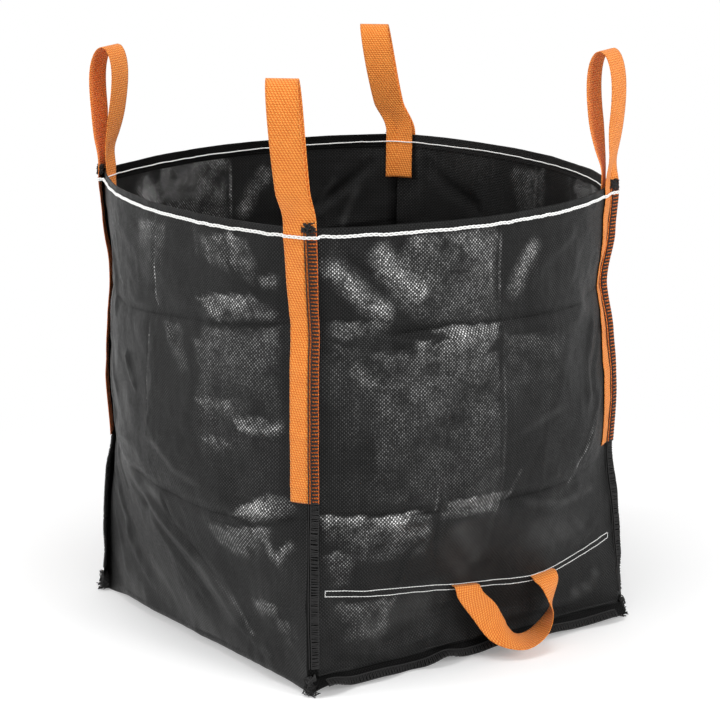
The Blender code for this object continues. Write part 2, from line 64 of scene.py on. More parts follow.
back = Vector(
    (
        math.sin(AZIMUTH) * math.cos(ELEVATION),
        -math.cos(AZIMUTH) * math.cos(ELEVATION),
        math.sin(ELEVATION),
    )
)
right = Vector((math.cos(AZIMUTH), math.sin(AZIMUTH), 0))
view_up = back.cross(right)
camera = bpy.data.objects.new("Camera", bpy.data.cameras.new("Camera"))
bpy.context.scene.collection.objects.link(camera)
camera.location = back * DISTANCE + right * AIM_RIGHT + view_up * AIM_UP
camera.rotation_mode = "QUATERNION"
camera.rotation_quaternion = back.to_track_quat("Z", "Y")
camera.data.lens = 143.2
camera.data.sensor_width = 36
camera.data.clip_end = 50
bpy.context.scene.camera = camera
print("camera at", [round(v, 2) for v in camera.location])

# %% [markdown]
# ## Node helper
#
# The world, the floor and every material are trees of nodes. A small class keeps the code for them
# short: it adds nodes, links them, and takes numbers and sockets alike.

# %% Node helper
class Tree:
    """Short calls that build one node tree."""

    def __init__(self, owner):
        owner.use_nodes = True
        self.nodes = owner.node_tree.nodes
        self.links = owner.node_tree.links

    def add(self, kind, **settings):
        node = self.nodes.new("ShaderNode" + kind)
        for name, value in settings.items():
            setattr(node, name, value)
        return node

    def feed(self, socket, value):
        """Give an input a number, a colour or another node's output."""
        if isinstance(value, bpy.types.NodeSocket):
            self.links.new(value, socket)
        else:
            socket.default_value = value

    def maths(self, operation, *values):
        node = self.add("Math", operation=operation)
        for socket, value in zip(node.inputs, values):
            self.feed(socket, value)
        return node.outputs[0]

    def times(self, first, second):
        return self.maths("MULTIPLY", first, second)

    def times_add(self, first, second, third):
        return self.maths("MULTIPLY_ADD", first, second, third)

    def ranged(self, value, **limits):
        """Map a value from one range to another, from 0..1 to 0..1 unless told otherwise."""
        node = self.add("MapRange", interpolation_type=limits.pop("kind", "LINEAR"))
        self.feed(node.inputs["Value"], value)
        for name, limit in limits.items():
            node.inputs[name.replace("_", " ").title()].default_value = limit
        return node.outputs[0]

    def mixed(self, share, first, second):
        node = self.add("Mix")
        for name, value in (("Factor", share), ("A", first), ("B", second)):
            self.feed(node.inputs[name], value)
        return node.outputs["Result"]

    def white_rays(self):
        """1 for camera, glossy and transmission rays, which see the ground and world white."""
        path = self.add("LightPath").outputs
        seen = self.maths("MAXIMUM", path["Is Camera Ray"], path["Is Glossy Ray"])
        return self.maths("MAXIMUM", seen, path["Is Transmission Ray"])


print("node calls:", [name for name in vars(Tree) if not name.startswith("_")])

# %% [markdown]
# ## Floor, lamps and world
#
# The photograph has a white ground that fades into a white background. A plain floor catches the
# bag's shadow. The world is white for the camera and for reflections, and dimmer as a light, so
# that the black cloth keeps its depth while its gloss still mirrors a bright room.

# %% Floor, lamps and world
scene = bpy.context.scene
scene.view_settings.view_transform = "Standard"
ROOM_LIGHT = 0.52
FLOOR_GLOW = 0.24
NEAR_GROUND = 0.45
FAR_GROUND = 1.10

world = bpy.data.worlds.new("Studio")
scene.world = world
tree = Tree(world)
room = tree.nodes["Background"].inputs
room["Color"].default_value = (1, 1, 1, 1)
tree.feed(room["Strength"], tree.ranged(tree.white_rays(), to_min=ROOM_LIGHT, to_max=1.0))

bm = bmesh.new()
bmesh.ops.create_grid(bm, x_segments=1, y_segments=1, size=12)
floor_mesh = bpy.data.meshes.new("floor")
bm.to_mesh(floor_mesh)
bm.free()
floor = bpy.data.objects.new("floor", floor_mesh)
scene.collection.objects.link(floor)
ground = bpy.data.materials.new("pale_ground")
tree = Tree(ground)
tree.nodes.clear()
white_ray = tree.white_rays()
matt = tree.add("BsdfDiffuse")
matt.inputs["Color"].default_value = (0.88, 0.88, 0.88, 1)
glow = tree.add("Emission")
tree.feed(glow.inputs["Strength"], tree.times(white_ray, FLOOR_GLOW))
near = tree.add("AddShader")
tree.feed(near.inputs[0], matt.outputs[0])
tree.feed(near.inputs[1], glow.outputs[0])
distance = tree.add("VectorMath", operation="LENGTH")
tree.feed(distance.inputs[0], tree.add("TexCoord").outputs["Object"])
far = tree.ranged(
    distance.outputs["Value"], kind="SMOOTHSTEP", from_min=NEAR_GROUND, from_max=FAR_GROUND
)
blend = tree.add("MixShader")
tree.feed(blend.inputs["Fac"], tree.times(far, white_ray))
tree.feed(blend.inputs[1], near.outputs[0])
tree.feed(blend.inputs[2], tree.add("Emission").outputs[0])
tree.feed(tree.add("OutputMaterial").inputs["Surface"], blend.outputs[0])
floor_mesh.materials.append(ground)


def lamp(name, azimuth, elevation, distance, size, power):
    """A square lamp that shines at the middle of the bag."""
    a, e = math.radians(azimuth), math.radians(elevation)
    way = Vector((math.sin(a) * math.cos(e), -math.cos(a) * math.cos(e), math.sin(e)))
    data = bpy.data.lights.new(name, "AREA")
    data.size = size
    data.energy = power
    made = bpy.data.objects.new(name, data)
    made.location = way * distance + Vector((0, 0, 0.3))
    made.rotation_mode = "QUATERNION"
    made.rotation_quaternion = way.to_track_quat("Z", "Y")
    scene.collection.objects.link(made)
    return made


lamp("left_box", -112, 20, 3.0, 1.1, 36)
lamp("right_box", 14, 20, 3.0, 1.1, 36)
lamp("overhead", -35, 75, 2.8, 1.4, 32)

# %% [markdown]
# ## The bag's form as a function
#
# Every sewn layer follows the same filled-out form, so the form is one function that turns a
# place on a wall into a point. s runs across a wall from -1 at its left seam to 1 at its right
# seam, and z is the height. The walls are flat at the floor and round out towards the rim. The
# sizes repeat those of the solid model. NumPy lets one call place thousands of points.

# %% Sizes and the plain form
SIDE = 0.500
HEIGHT = 0.580
BASE_ROUNDING = 0.022
ROUND_FROM = 0.250
CORNER_REACH = 0.014
CLOTH = 0.0008
HEM_CLOTH = 0.0016
HEM_DEPTH = 0.018
WEBBING = 0.0012
WEBBING_WIDTH = 0.039
ALLOWANCE = 0.014
FLANGE = 0.019
FOLD_GAP = 0.0003
HALF = SIDE / 2
HALF_ARC = HALF + 0.010
MEAN_RADIUS = 4 * SIDE / (2 * math.pi)
OUTER_CLOTH = FOLD_GAP + CLOTH + 0.0003 + CLOTH
STRAP_LEVEL = OUTER_CLOTH + 0.0005 + WEBBING
INSIDE_STRAP = FOLD_GAP + HEM_CLOTH + 0.0003

FRONT, RIGHT, REAR, LEFT = range(4)
NORMALS = np.array([(0, -1, 0), (1, 0, 0), (0, 1, 0), (-1, 0, 0)], float)
ALONGS = np.array([(1, 0, 0), (0, 1, 0), (-1, 0, 0), (0, -1, 0)], float)
UP = np.array((0, 0, 1.0))
SEAM_HEIGHTS = (0.00, 0.13, 0.22, 0.31, 0.39, 0.458, 0.52, HEIGHT)
SEAM_OFFSETS = (0.000, 0.003, -0.001, 0.004, 0.001, -0.008, -0.001, 0.004)
LEAN_HEIGHTS = (0.000, 0.120, 0.240, 0.440, 0.520, HEIGHT)
SEAM_LEANS = {LEFT: (-0.001, -0.003, -0.0045, -0.0038, -0.0065, -0.0082)}

CORNER_HEIGHTS = (0.00, 0.06, 0.11, 0.17, 0.25, 0.34, 0.40, 0.45, 0.49, 0.54, HEIGHT)
CORNER_OFFSETS = {
    REAR: (-0.010, -0.008, -0.008, -0.0055, -0.003, -0.002, -0.005, -0.001, 0.002, 0.004, 0.001),
    FRONT: (-0.003, -0.008, -0.009, -0.006, -0.0055, -0.007, -0.011, -0.0125, -0.011, -0.010, -0.0125),
}


def smooth(t):
    t = np.clip(t, 0.0, 1.0)
    return t * t * (3 - 2 * t)


def ripple(t, reach):
    """A smooth ridge of height 1 at t = 0 that ends at reach on both sides."""
    return smooth(1 - np.abs(t) / reach)


def seam_offset(z):
    """How far the upright seams stand in or out at each height."""
    total = np.full_like(z, SEAM_OFFSETS[0])
    steps = zip(SEAM_HEIGHTS, SEAM_OFFSETS, SEAM_HEIGHTS[1:], SEAM_OFFSETS[1:])
    for z0, d0, z1, d1 in steps:
        total = total + (d1 - d0) * smooth((z - z0) / (z1 - z0))
    return total


def seam_lean(face, z):
    """Shift to the right of the seam at a wall's right side, at each height."""
    return np.interp(z, LEAN_HEIGHTS, SEAM_LEANS.get(face, (0,) * len(LEAN_HEIGHTS)))


def flare(z):
    """Webbing and seam edges spread towards the rim and curl in a little below it."""
    return 0.92 + 0.16 * smooth((np.asarray(z) - 0.44) / 0.13)


print("levels of the sewn layers, mm:", round(OUTER_CLOTH * 1e3, 2), round(STRAP_LEVEL * 1e3, 2))

# %% [markdown]
# ## Creases, sag and crumples
#
# The bag was sold folded flat, and it still shows the fold lines: one across each wall near three
# quarters of its height, one below the middle, and short upright ones between them. Between the
# folds the cloth sags and crumples. Each of these is a small height added to the form: sharp lines
# for the folds, long soft hills for the sag, and finer hills that only come in patches.

# %% Noise and fold helpers
def hills(u, v, seed):
    """Smooth random hills between -1 and 1, about one unit apart."""
    table = np.random.default_rng(seed).uniform(-1, 1, (97, 89))
    iu, iv = np.floor(u).astype(int), np.floor(v).astype(int)
    fu, fv = smooth(u - iu), smooth(v - iv)
    low = table[iu % 97, iv % 89] * (1 - fu) + table[(iu + 1) % 97, iv % 89] * fu
    high = table[iu % 97, (iv + 1) % 89] * (1 - fu) + table[(iu + 1) % 97, (iv + 1) % 89] * fu
    return low * (1 - fv) + high * fv


def facets(x, z, size, turn, seed):
    """Random flat facets with creases between them, about size metres across."""
    table = np.random.default_rng(seed).uniform(-1, 1, (61, 67))
    cosine, sine = math.cos(turn), math.sin(turn)
    u = (x * cosine - z * sine) / size + 0.35 * hills(x / 0.05, z / 0.05, seed + 1) + 20
    v = (x * sine + z * cosine) / size + 0.35 * hills(x / 0.06, z / 0.04, seed + 2) + 20
    iu, iv = np.floor(u).astype(int), np.floor(v).astype(int)
    fu, fv = u - iu, v - iv
    flip = fu + fv > 1
    a = np.where(flip, table[(iu + 1) % 61, (iv + 1) % 67], table[iu % 61, iv % 67])
    b, c = table[(iu + 1) % 61, iv % 67], table[iu % 61, (iv + 1) % 67]
    gu, gv = np.where(flip, 1 - fv, fu), np.where(flip, 1 - fu, fv)
    return a + (b - a) * gu + (c - a) * gv


def fold(x, z, line, width, height, sharp=False):
    """A ridge, or a valley where height is negative, along a line of points on a wall."""
    best = np.full(np.shape(x), 1e9)
    total = np.zeros(np.shape(x))
    length = sum(math.dist(a, b) for a, b in zip(line, line[1:]))
    passed = 0.0
    for (x0, z0), (x1, z1) in zip(line, line[1:]):
        run = math.hypot(x1 - x0, z1 - z0)
        share = np.clip(((x - x0) * (x1 - x0) + (z - z0) * (z1 - z0)) / run**2, 0, 1)
        away = np.hypot(x - x0 - share * (x1 - x0), z - z0 - share * (z1 - z0))
        place = (passed + share * run) / length
        fade = smooth(place * 5) * smooth((1 - place) * 5)
        shape = np.exp(-away / width) if sharp else ripple(away, width)
        nearer = away < best
        total = np.where(nearer, shape * fade, total)
        best = np.minimum(best, away)
        passed += run
    return total * height


HIGH_FOLD = {
    FRONT: ((-1, -0.8, -0.6, -0.4, 0.6, 1), (0.470, 0.465, 0.445, 0.450, 0.445, 0.455)),
    LEFT: ((-1, -0.4, 0, 0.5, 1), (0.440, 0.430, 0.440, 0.450, 0.465)),
    RIGHT: ((-1, -0.3, 0.5, 1), (0.455, 0.450, 0.445, 0.455)),
    REAR: ((-1, -0.4, 0.4, 1), (0.460, 0.445, 0.450, 0.450)),
}
LOW_FOLD = {
    FRONT: ((-1, -0.3, 0.3, 1), (0.230, 0.215, 0.215, 0.225)),
    LEFT: ((-1, 0.3, 0.5, 1), (0.225, 0.205, 0.205, 0.220)),
    RIGHT: ((-1, 0.1, 1), (0.220, 0.215, 0.220)),
    REAR: ((-1, -0.1, 1), (0.220, 0.215, 0.225)),
}
print("noise ranges:", hills(np.linspace(0, 9, 50), np.linspace(0, 7, 50), 1).round(1)[:4])

# %% [markdown]
# ## Lines on each wall
#
# Creases are sharp valleys where the cloth was folded. Swells are soft ridges, or troughs where
# their height is below 0. Places were measured in the photograph and rounded to 5 mm.

# %% Lines on each wall
# All in millimetres, as (across from the wall's middle, up). A crease is its height and points, a
# swell its width, height and points.
CREASE_WIDTH = 0.003
CREASES = {
    FRONT: [
        (-1.4, (0, 560), (0, 445)),
        (-0.6, (0, 445), (-5, 340), (0, 230)),
        (-1.4, (-90, 215), (-90, 175), (-80, 130)),
        (-2.0, (-185, 45), (-150, 45), (-110, 55)),
    ],
    LEFT: [
        (-1.4, (-5, 560), (-10, 500), (-10, 465), (5, 445)),
        (-1.4, (-20, 440), (-25, 365), (-25, 290)),
        (-2.2, (-15, 215), (15, 160), (70, 110), (140, 60)),
    ],
    RIGHT: [
        (-1.4, (0, 560), (5, 500), (5, 450)),
        (-1.2, (-80, 215), (-75, 120), (-70, 50)),
    ],
    REAR: [
        (-1.4, (-5, 560), (0, 500), (0, 450)),
        (-1.2, (85, 215), (80, 150), (70, 70)),
    ],
}
SWELLS = {
    FRONT: [
        (14, 5.6, (-240, 550), (-225, 525), (-205, 505), (-185, 485), (-145, 460)),
        (12, -5.0, (-230, 560), (-205, 535), (-185, 520), (-145, 490)),
        (15, 5.4, (-195, 560), (-165, 535), (-145, 515), (-100, 485)),
        (12, -3.4, (-155, 560), (-130, 535), (-95, 505)),
        (17, 4.0, (-120, 560), (-85, 530), (-35, 505)),
        (16, 3.2, (160, 550), (90, 520), (30, 480)),
        (10, 3.2, (-235, 435), (-210, 420), (-175, 390), (-140, 375)),
        (16, -3.4, (-205, 445), (-150, 425), (-130, 400)),
        (11, 4.2, (-160, 435), (-20, 435), (20, 430)),
        (13, 2.8, (60, 430), (120, 425), (170, 430)),
        (12, 3.2, (230, 330), (190, 260), (165, 235)),
        (10, -2.6, (240, 420), (205, 350), (200, 300)),
        (11, 3.0, (215, 430), (185, 365), (180, 300)),
        (11, 4.2, (-245, 215), (-220, 205), (-195, 190)),
        (11, 4.2, (-180, 210), (-145, 210), (-100, 205)),
        (9, 2.4, (-120, 175), (-130, 120)),
        (16, 2.2, (20, 205), (110, 185), (190, 205)),
        (12, 2.8, (235, 150), (190, 130), (150, 125)),
        (13, 3.4, (-235, 50), (-130, 35), (-30, 50)),
        (12, 3.0, (10, 40), (110, 45), (205, 35)),
        (10, -2.4, (-150, 85), (-60, 70), (0, 80)),
        (7, -2.4, (-245, 110), (-230, 70), (-235, 30)),
    ],
    LEFT: [
        (14, 3.4, (-140, 225), (-40, 180), (25, 130), (110, 60), (225, 20)),
        (13, -3.2, (-150, 205), (-50, 160), (10, 105), (90, 45)),
        (20, 7.8, (90, 455), (150, 455), (230, 470)),
        (6, 3.2, (25, 435), (35, 410)),
        (13, 4.0, (145, 330), (190, 325), (230, 320)),
        (8, 3.2, (-110, 375), (-90, 345), (-60, 330)),
        (13, 3.6, (120, 540), (165, 515), (215, 505)),
        (14, 2.2, (-240, 280), (-150, 255), (-60, 260)),
        (10, -2.2, (-235, 510), (-190, 440), (-185, 380)),
        (9, 2.0, (-215, 520), (-160, 455), (-150, 400)),
        (18, 7.4, (130, 205), (180, 215), (240, 225)),
        (14, 2.6, (-200, 120), (-130, 70), (-40, 30)),
    ],
    RIGHT: [
        (12, 3.6, (-200, 440), (-100, 430), (10, 440)),
        (14, 4.6, (230, 550), (180, 510), (110, 480)),
        (16, 3.4, (190, 200), (80, 150), (0, 60)),
        (14, 2.8, (-220, 150), (-140, 90), (-60, 40)),
    ],
    REAR: [
        (12, 3.6, (-180, 440), (-60, 430), (60, 440)),
        (14, 4.6, (-235, 550), (-190, 510), (-130, 470)),
        (14, 3.2, (215, 200), (130, 170), (40, 190)),
        (13, 3.2, (-225, 60), (-120, 50), (-10, 60)),
    ],
}
for start in (440, 360, 290, 230, 170):
    reach = 70 + 0.1 * start
    pulled = (-250, start), (-250 + reach / 2, start - 75), (-250 + reach, start - 140)
    SWELLS[LEFT].append((8, 2.2, *pulled))
    SWELLS[RIGHT].append((8, 2.2, *pulled))


def metres(points):
    return [(across / 1000, up / 1000) for across, up in points]


def drape(face, s, z):
    """Sag of the filled cloth, outward positive: a valley at each fold and a belly between."""
    middle = 1 - s * s
    high = np.interp(s, *HIGH_FOLD[face])
    low = np.interp(s, *LOW_FOLD[face])
    x = s * HALF_ARC
    patchy = 0.75 + 0.45 * hills(x / 0.07 + 5, z / 0.2, 40 + face)
    depth = -0.0036 * ripple(z - high, 0.015) * (0.4 + 0.6 * middle) * patchy
    depth -= 0.0034 * ripple(z - low, 0.015) * (0.3 + 0.7 * middle) * patchy
    depth -= 0.0010 * np.exp(-np.abs(z - high) / 0.0030) * smooth(middle * 8)
    depth -= 0.0009 * np.exp(-np.abs(z - low) / 0.0030) * smooth(middle * 8)
    depth += 0.0040 * middle * np.sin(math.pi * (z - low) / (high - low))
    slant = s + 0.9 * (z - 0.12) / 0.25 * (1 if face in (FRONT, REAR) else -1)
    if face == LEFT:
        depth += 0.011 * smooth(1 - z / 0.17) * (1 - s * s)
    near_floor = smooth(z / 0.06) * smooth((low - z) / 0.06)
    return depth + 0.0030 * near_floor * np.sin(5.0 * slant + face)


def crumple(face, s, z):
    """Fold lines, soft hills and patches of fine crumples, outward positive."""
    x = s * HALF_ARC
    total = 0.0016 * hills(x / 0.062 + 11, z / 0.095 + 3, face)
    total += 0.0026 * facets(x, z, 0.058, 0.6, 210 + face)
    total += 0.0012 * facets(x, z, 0.030, -0.5, 220 + face)
    patches = smooth(1.2 * hills(x / 0.080 + 7, z / 0.060, 20 + face) + 0.45)
    total += 0.0007 * patches * facets(x, z, 0.0125, 0.2, 230 + face)
    total += 0.00030 * hills(x / 0.0085, z / 0.012, 35 + face)
    for height, *points in CREASES[face]:
        total += fold(x, z, metres(points), CREASE_WIDTH, height / 1000, sharp=True)
    for width, height, *points in SWELLS[face]:
        total += fold(x, z, metres(points), width / 1000, height / 1000)
    total *= 1 - 0.75 * s**8
    stitch_line = np.exp(-np.abs(z - (HEIGHT - 0.0125)) / 0.010)
    total *= 1 - 0.7 * stitch_line
    total += 0.00060 * stitch_line * hills(x / 0.0085, z / 0.03, 50 + face)
    to_seam = (1 - np.abs(s)) * HALF_ARC
    total += 0.0009 * np.exp(-to_seam / 0.014) * hills(to_seam / 0.04, z / 0.0125, 60 + face)
    return total


print("swells per wall:", {face: len(rows) for face, rows in SWELLS.items()})

# %% [markdown]
# ## Marks on each wall
#
# Flat tape whitens in thin lines where it was folded. Patches and bands of painted highlight stand
# for the gloss on folds, smooth pale streaks lighten the cloth, and painted shade darkens the cracks
# in the folds. The marks on the left and front walls were measured in the photograph and rounded
# to 5 mm. The two walls that can't be seen get the same marks mirrored.

# %% Marks on each wall
# Each is (kind, strength, width or fade, points), in millimetres from the foot of the wall's
# middle. The patch and band kinds are painted highlights of glossy folds, a line is a whitened
# crease, the haze kind is a smooth pale streak, and the dark kind is painted shade in the crack
# of a fold.
MARKS = {
    LEFT: [
        ("patch", 1.00, 20, (90, 475), (170, 490), (220, 475), (220, 465), (130, 455)),
        ("patch", 0.75, 30, (145, 560), (170, 560), (190, 535), (190, 505), (155, 525)),
        ("patch", 0.80, 30, (200, 515), (220, 520), (220, 505), (200, 505)),
        ("patch", 0.35, 40, (95, 555), (140, 560), (150, 515), (110, 525)),
        ("patch", 0.20, 90, (95, 440), (220, 455), (225, 240), (145, 225), (90, 295)),
        ("patch", 0.45, 30, (200, 440), (220, 455), (220, 425), (205, 410)),
        ("patch", 0.35, 40, (80, 420), (125, 425), (150, 375), (125, 380)),
        ("patch", 1.00, 30, (155, 335), (190, 340), (225, 335), (225, 325), (165, 320)),
        ("patch", 0.40, 30, (90, 350), (150, 355), (160, 340), (110, 330)),
        ("patch", 0.60, 20, (100, 300), (130, 305), (155, 295), (135, 290)),
        ("patch", 1.00, 30, (155, 215), (185, 235), (215, 245), (245, 235), (240, 225), (180, 205)),
        ("patch", 0.40, 40, (90, 185), (210, 200), (170, 150), (100, 160)),
        ("patch", 0.70, 20, (185, 190), (200, 185), (220, 155), (200, 160)),
        ("patch", 0.60, 20, (210, 165), (235, 190), (240, 185), (215, 155)),
        ("patch", 0.45, 20, (205, 85), (240, 85), (240, 60), (210, 55)),
        ("patch", 0.30, 30, (150, 100), (205, 105), (205, 90), (155, 80)),
        ("patch", 0.30, 40, (-60, 550), (15, 560), (5, 460), (-40, 455)),
        ("patch", 0.30, 40, (15, 435), (50, 435), (75, 380), (45, 375)),
        ("line", 0.95, 1.1, (-5, 570), (-10, 500), (-10, 465), (5, 445)),
        ("line", 0.30, 1.6, (-30, 565), (-30, 445)),
        ("line", 0.85, 1.0, (-20, 430), (-25, 365), (-25, 295)),
        ("line", 0.35, 1.6, (80, 570), (90, 525)),
        ("line", 0.55, 1.0, (60, 110), (105, 80), (145, 55), (210, 25)),
        ("dark", 0.60, 2.0, (-15, 215), (15, 160), (70, 115), (205, 25)),
        ("dark", 0.60, 2.0, (-30, 190), (-45, 130), (-65, 65), (-50, 20)),
        ("dark", 0.50, 3.0, (-180, 250), (-105, 200), (-85, 150), (-55, 95)),
        ("dark", 0.50, 3.0, (-220, 140), (-180, 90), (-170, 35)),
        ("dark", 0.50, 3.0, (-40, 285), (20, 255), (70, 240)),
        ("haze", 0.75, 12, (-220, 375), (-140, 345), (-100, 310), (-70, 260)),
        ("haze", 0.70, 6, (-130, 370), (-70, 335)),
        ("haze", 0.60, 8, (-260, 230), (-130, 220), (-55, 200), (25, 195)),
        ("haze", 0.60, 5, (-50, 280), (0, 270), (40, 245), (100, 235)),
        ("haze", 0.70, 5, (-255, 170), (-200, 145), (-170, 110)),
        ("haze", 0.60, 30, (-105, 105), (-50, 55), (30, 20), (140, 10)),
        ("haze", 0.55, 25, (-210, 85), (-180, 35), (-110, 10)),
        ("haze", 0.50, 30, (25, 125), (75, 90), (120, 50)),
        ("haze", 0.45, 8, (-185, 465), (-145, 435), (-110, 400)),
    ],
    FRONT: [
        ("band", 0.80, 10, (-240, 550), (-225, 525), (-205, 505), (-185, 485), (-150, 465)),
        ("band", 0.90, 12, (-180, 560), (-165, 535), (-145, 515), (-105, 485)),
        ("band", 0.50, 7, (-215, 415), (-195, 395), (-150, 375)),
        ("band", 0.45, 9, (70, 545), (40, 515), (15, 470)),
        ("patch", 0.40, 80, (-130, 565), (-10, 565), (-5, 450), (-125, 460), (-160, 490)),
        ("patch", 0.40, 30, (-100, 560), (-5, 560), (-5, 510), (-65, 505)),
        ("patch", 1.00, 20, (0, 445), (-100, 450), (-65, 425), (-35, 405)),
        ("patch", 0.45, 40, (-5, 435), (-125, 435), (-115, 360), (-55, 380)),
        ("patch", 0.40, 20, (-165, 460), (-235, 465), (-235, 445), (-170, 440)),
        ("patch", 0.20, 150, (-5, 410), (-185, 425), (-180, 240), (0, 215)),
        ("patch", 0.10, 80, (-185, 425), (-235, 440), (-230, 240), (-180, 240)),
        ("patch", 0.10, 80, (115, 415), (5, 430), (5, 320), (85, 305)),
        ("patch", 0.85, 25, (-190, 220), (-245, 225), (-235, 190), (-200, 185)),
        ("patch", 0.95, 25, (-115, 220), (-180, 220), (-175, 195), (-155, 195)),
        ("patch", 0.40, 40, (-100, 215), (-230, 220), (-215, 165), (-100, 160)),
        ("patch", 0.50, 30, (10, 230), (-80, 230), (-85, 210), (5, 205)),
        ("patch", 0.35, 40, (-205, 175), (-235, 175), (-230, 135), (-205, 135)),
        ("patch", 0.30, 40, (-135, 105), (-220, 110), (-210, 60), (-145, 60)),
        ("line", 0.75, 1.0, (0, 565), (0, 450)),
        ("line", 0.60, 1.4, (-15, 565), (-15, 475)),
        ("line", 0.35, 1.0, (5, 435), (5, 215)),
        ("line", 0.60, 1.2, (-250, 560), (-235, 530), (-210, 505)),
        ("line", 0.65, 0.9, (130, 205), (170, 245), (210, 300)),
        ("line", 0.55, 1.0, (15, 210), (25, 235), (40, 260)),
        ("line", 0.50, 0.9, (-95, 260), (-95, 215)),
        ("dark", 0.80, 2.2, (-95, 255), (-85, 190), (-80, 115)),
        ("dark", 0.90, 2.2, (-215, 55), (-150, 40), (-105, 55)),
        ("dark", 0.90, 6.0, (-225, 560), (-210, 535), (-185, 505), (-150, 485)),
        ("dark", 0.70, 5.0, (-155, 555), (-120, 520)),
        ("dark", 0.50, 8.0, (150, 500), (100, 460), (115, 415)),
        ("dark", 0.50, 3.0, (230, 395), (200, 305), (155, 250), (135, 205)),
        ("dark", 0.80, 6.0, (-245, 560), (-245, 245)),
        ("dark", 0.60, 5.0, (-100, 35), (-40, 70), (-15, 75)),
        ("haze", 0.45, 6, (210, 515), (190, 475), (170, 420)),
        ("haze", 0.45, 5, (175, 525), (135, 470)),
        ("haze", 0.50, 12, (245, 295), (235, 245), (200, 210)),
        ("haze", 0.40, 6, (235, 190), (125, 190), (40, 210)),
        ("haze", 0.50, 10, (160, 50), (205, 55), (225, 80)),
        ("haze", 0.45, 30, (-70, 200), (-40, 160), (-10, 125)),
        ("haze", 0.40, 25, (50, 165), (135, 145), (205, 140)),
        ("haze", 0.35, 25, (-195, 65), (-105, 90), (-55, 90)),
        ("haze", 0.35, 6, (25, 300), (85, 315), (130, 325)),
    ],
}


def mirrored(rows):
    """The same marks with left and right changed over."""
    return [(*row[:3], *((-across, up) for across, up in row[3:])) for row in rows]


MARKS[RIGHT] = mirrored(MARKS[LEFT])
MARKS[REAR] = mirrored(MARKS[FRONT])
print("marks per wall:", {face: len(rows) for face, rows in MARKS.items()})

# %% [markdown]
# ## Wear and painted light
#
# A mark's edge is ragged and its inside blotchy, so each one is bent and broken up by noise before
# it is written to the cloth. Two numbers per point come out: how much the tape is whitened, by
# wear and by painted highlight, and how pale it is, or how darkened and dulled by painted shade
# along the folds, in cracks and beside the seams.

# %% Wear and painted light
def patch(x, z, points, fade):
    """1 inside a ragged polygon; it fades with the distance from the polygon's first side."""
    x = x + 0.0035 * hills(x / 0.010, z / 0.010, 301)
    z = z + 0.0030 * hills(x / 0.009, z / 0.011, 302)
    area = sum(a[0] * b[1] - b[0] * a[1] for a, b in zip(points, points[1:] + points[:1]))
    inside = np.ones(x.shape)
    for index, (a, b) in enumerate(zip(points, points[1:] + points[:1])):
        away = (b[0] - a[0]) * (z - a[1]) - (b[1] - a[1]) * (x - a[0])
        away *= math.copysign(1, area) / math.dist(a, b)
        inside *= smooth(0.5 + away / (0.004 if index == 0 else 0.012))
        if index == 0:
            inside *= np.exp(-np.clip(away, 0, None) / fade)
    return inside


def stroke(x, z, points, width):
    return fold(x, z, points, width, 1.0, sharp=True)


def wear_and_painted_light(face, s, z):
    """How whitened the tape is, by wear and painted highlight, and how pale (above 0) or darkened and
    dulled by painted shade (below 0) it is.
    """
    s, z = np.broadcast_arrays(s, z)
    x = s * HALF_ARC
    wear_and_highlight, haze = np.zeros(x.shape), np.zeros(x.shape)
    for kind, strength, width, *points in MARKS[face]:
        width = width / 1000
        points = metres(points)
        # The patch and band kinds are painted highlights: pale tape where glossy folds catch the light.
        if kind == "patch":
            wear_and_highlight = np.maximum(wear_and_highlight, strength * patch(x, z, points, width))
        elif kind == "band":
            wear_and_highlight = np.maximum(wear_and_highlight, 0.85 * strength * fold(x, z, points, width * 2.0, 1.0))
        elif kind == "line":
            dots = 0.65 + 0.6 * hills(x / 0.0045, z / 0.0045, 140 + face)
            wear_and_highlight = np.maximum(wear_and_highlight, strength * dots * stroke(x, z, points, width))
        elif kind == "haze":
            haze = np.maximum(haze, strength * fold(x, z, points, width * 1.4, 1.0))
        else:
            # The dark kind is painted shade in the crack of a fold.
            haze = haze - strength * stroke(x, z, points, width)
    blotches = 0.72 + 0.55 * hills(x / 0.021, z / 0.016, 160 + face)
    blotches = blotches + 0.35 * hills(x / 0.0075, z / 0.0075, 165 + face)
    threads = smooth(0.35 + 1.1 * hills(x / 0.0042, z / 0.11, 170 + face))
    broad = smooth(0.35 + 0.9 * hills(x / 0.060 + 2, z / 0.050, 180 + face))
    wear_and_highlight = wear_and_highlight * blotches + 0.020 * broad * threads + 0.008 * broad
    streaks = hills((x + z) / 0.012, (x - z) / 0.14, 190 + face)
    haze = haze * (0.75 + 0.5 * streaks) + 0.05 * broad * streaks
    broken = smooth(1.6 * hills(x / 0.045, z / 0.5, 150 + face) + 0.4)
    to_left_seam = (s + 1) * HALF_ARC
    # Painted shade beside the left seam, where the laid edge stands proud: darker and less glossy.
    haze = haze - 0.75 * smooth(1 - to_left_seam / 0.017)
    wear_and_highlight = wear_and_highlight * smooth(to_left_seam / 0.02)
    # Painted shade along the two fold lines.
    for table in (HIGH_FOLD, LOW_FOLD):
        away = np.abs(z - np.interp(s, *table[face]))
        haze = haze - 0.45 * np.exp(-away / 0.0016) * (0.4 + 0.6 * broken)
    return np.stack([np.clip(wear_and_highlight, 0, 1), np.clip(haze, -1, 1)], axis=-1)


# The two numbers: whitening by wear and painted highlight, and paleness or painted shade.
print("front wall's middle, worn and hazy:", wear_and_painted_light(FRONT, 0.0, 0.3).round(2))

# %% [markdown]
# ## Points on a wall
#
# The skin is the form with no thickness: flat at the floor, rounder towards the rim, and shifted at
# each corner as the seam stands in or out. Cloth lies on it, proud of it by its own creases.

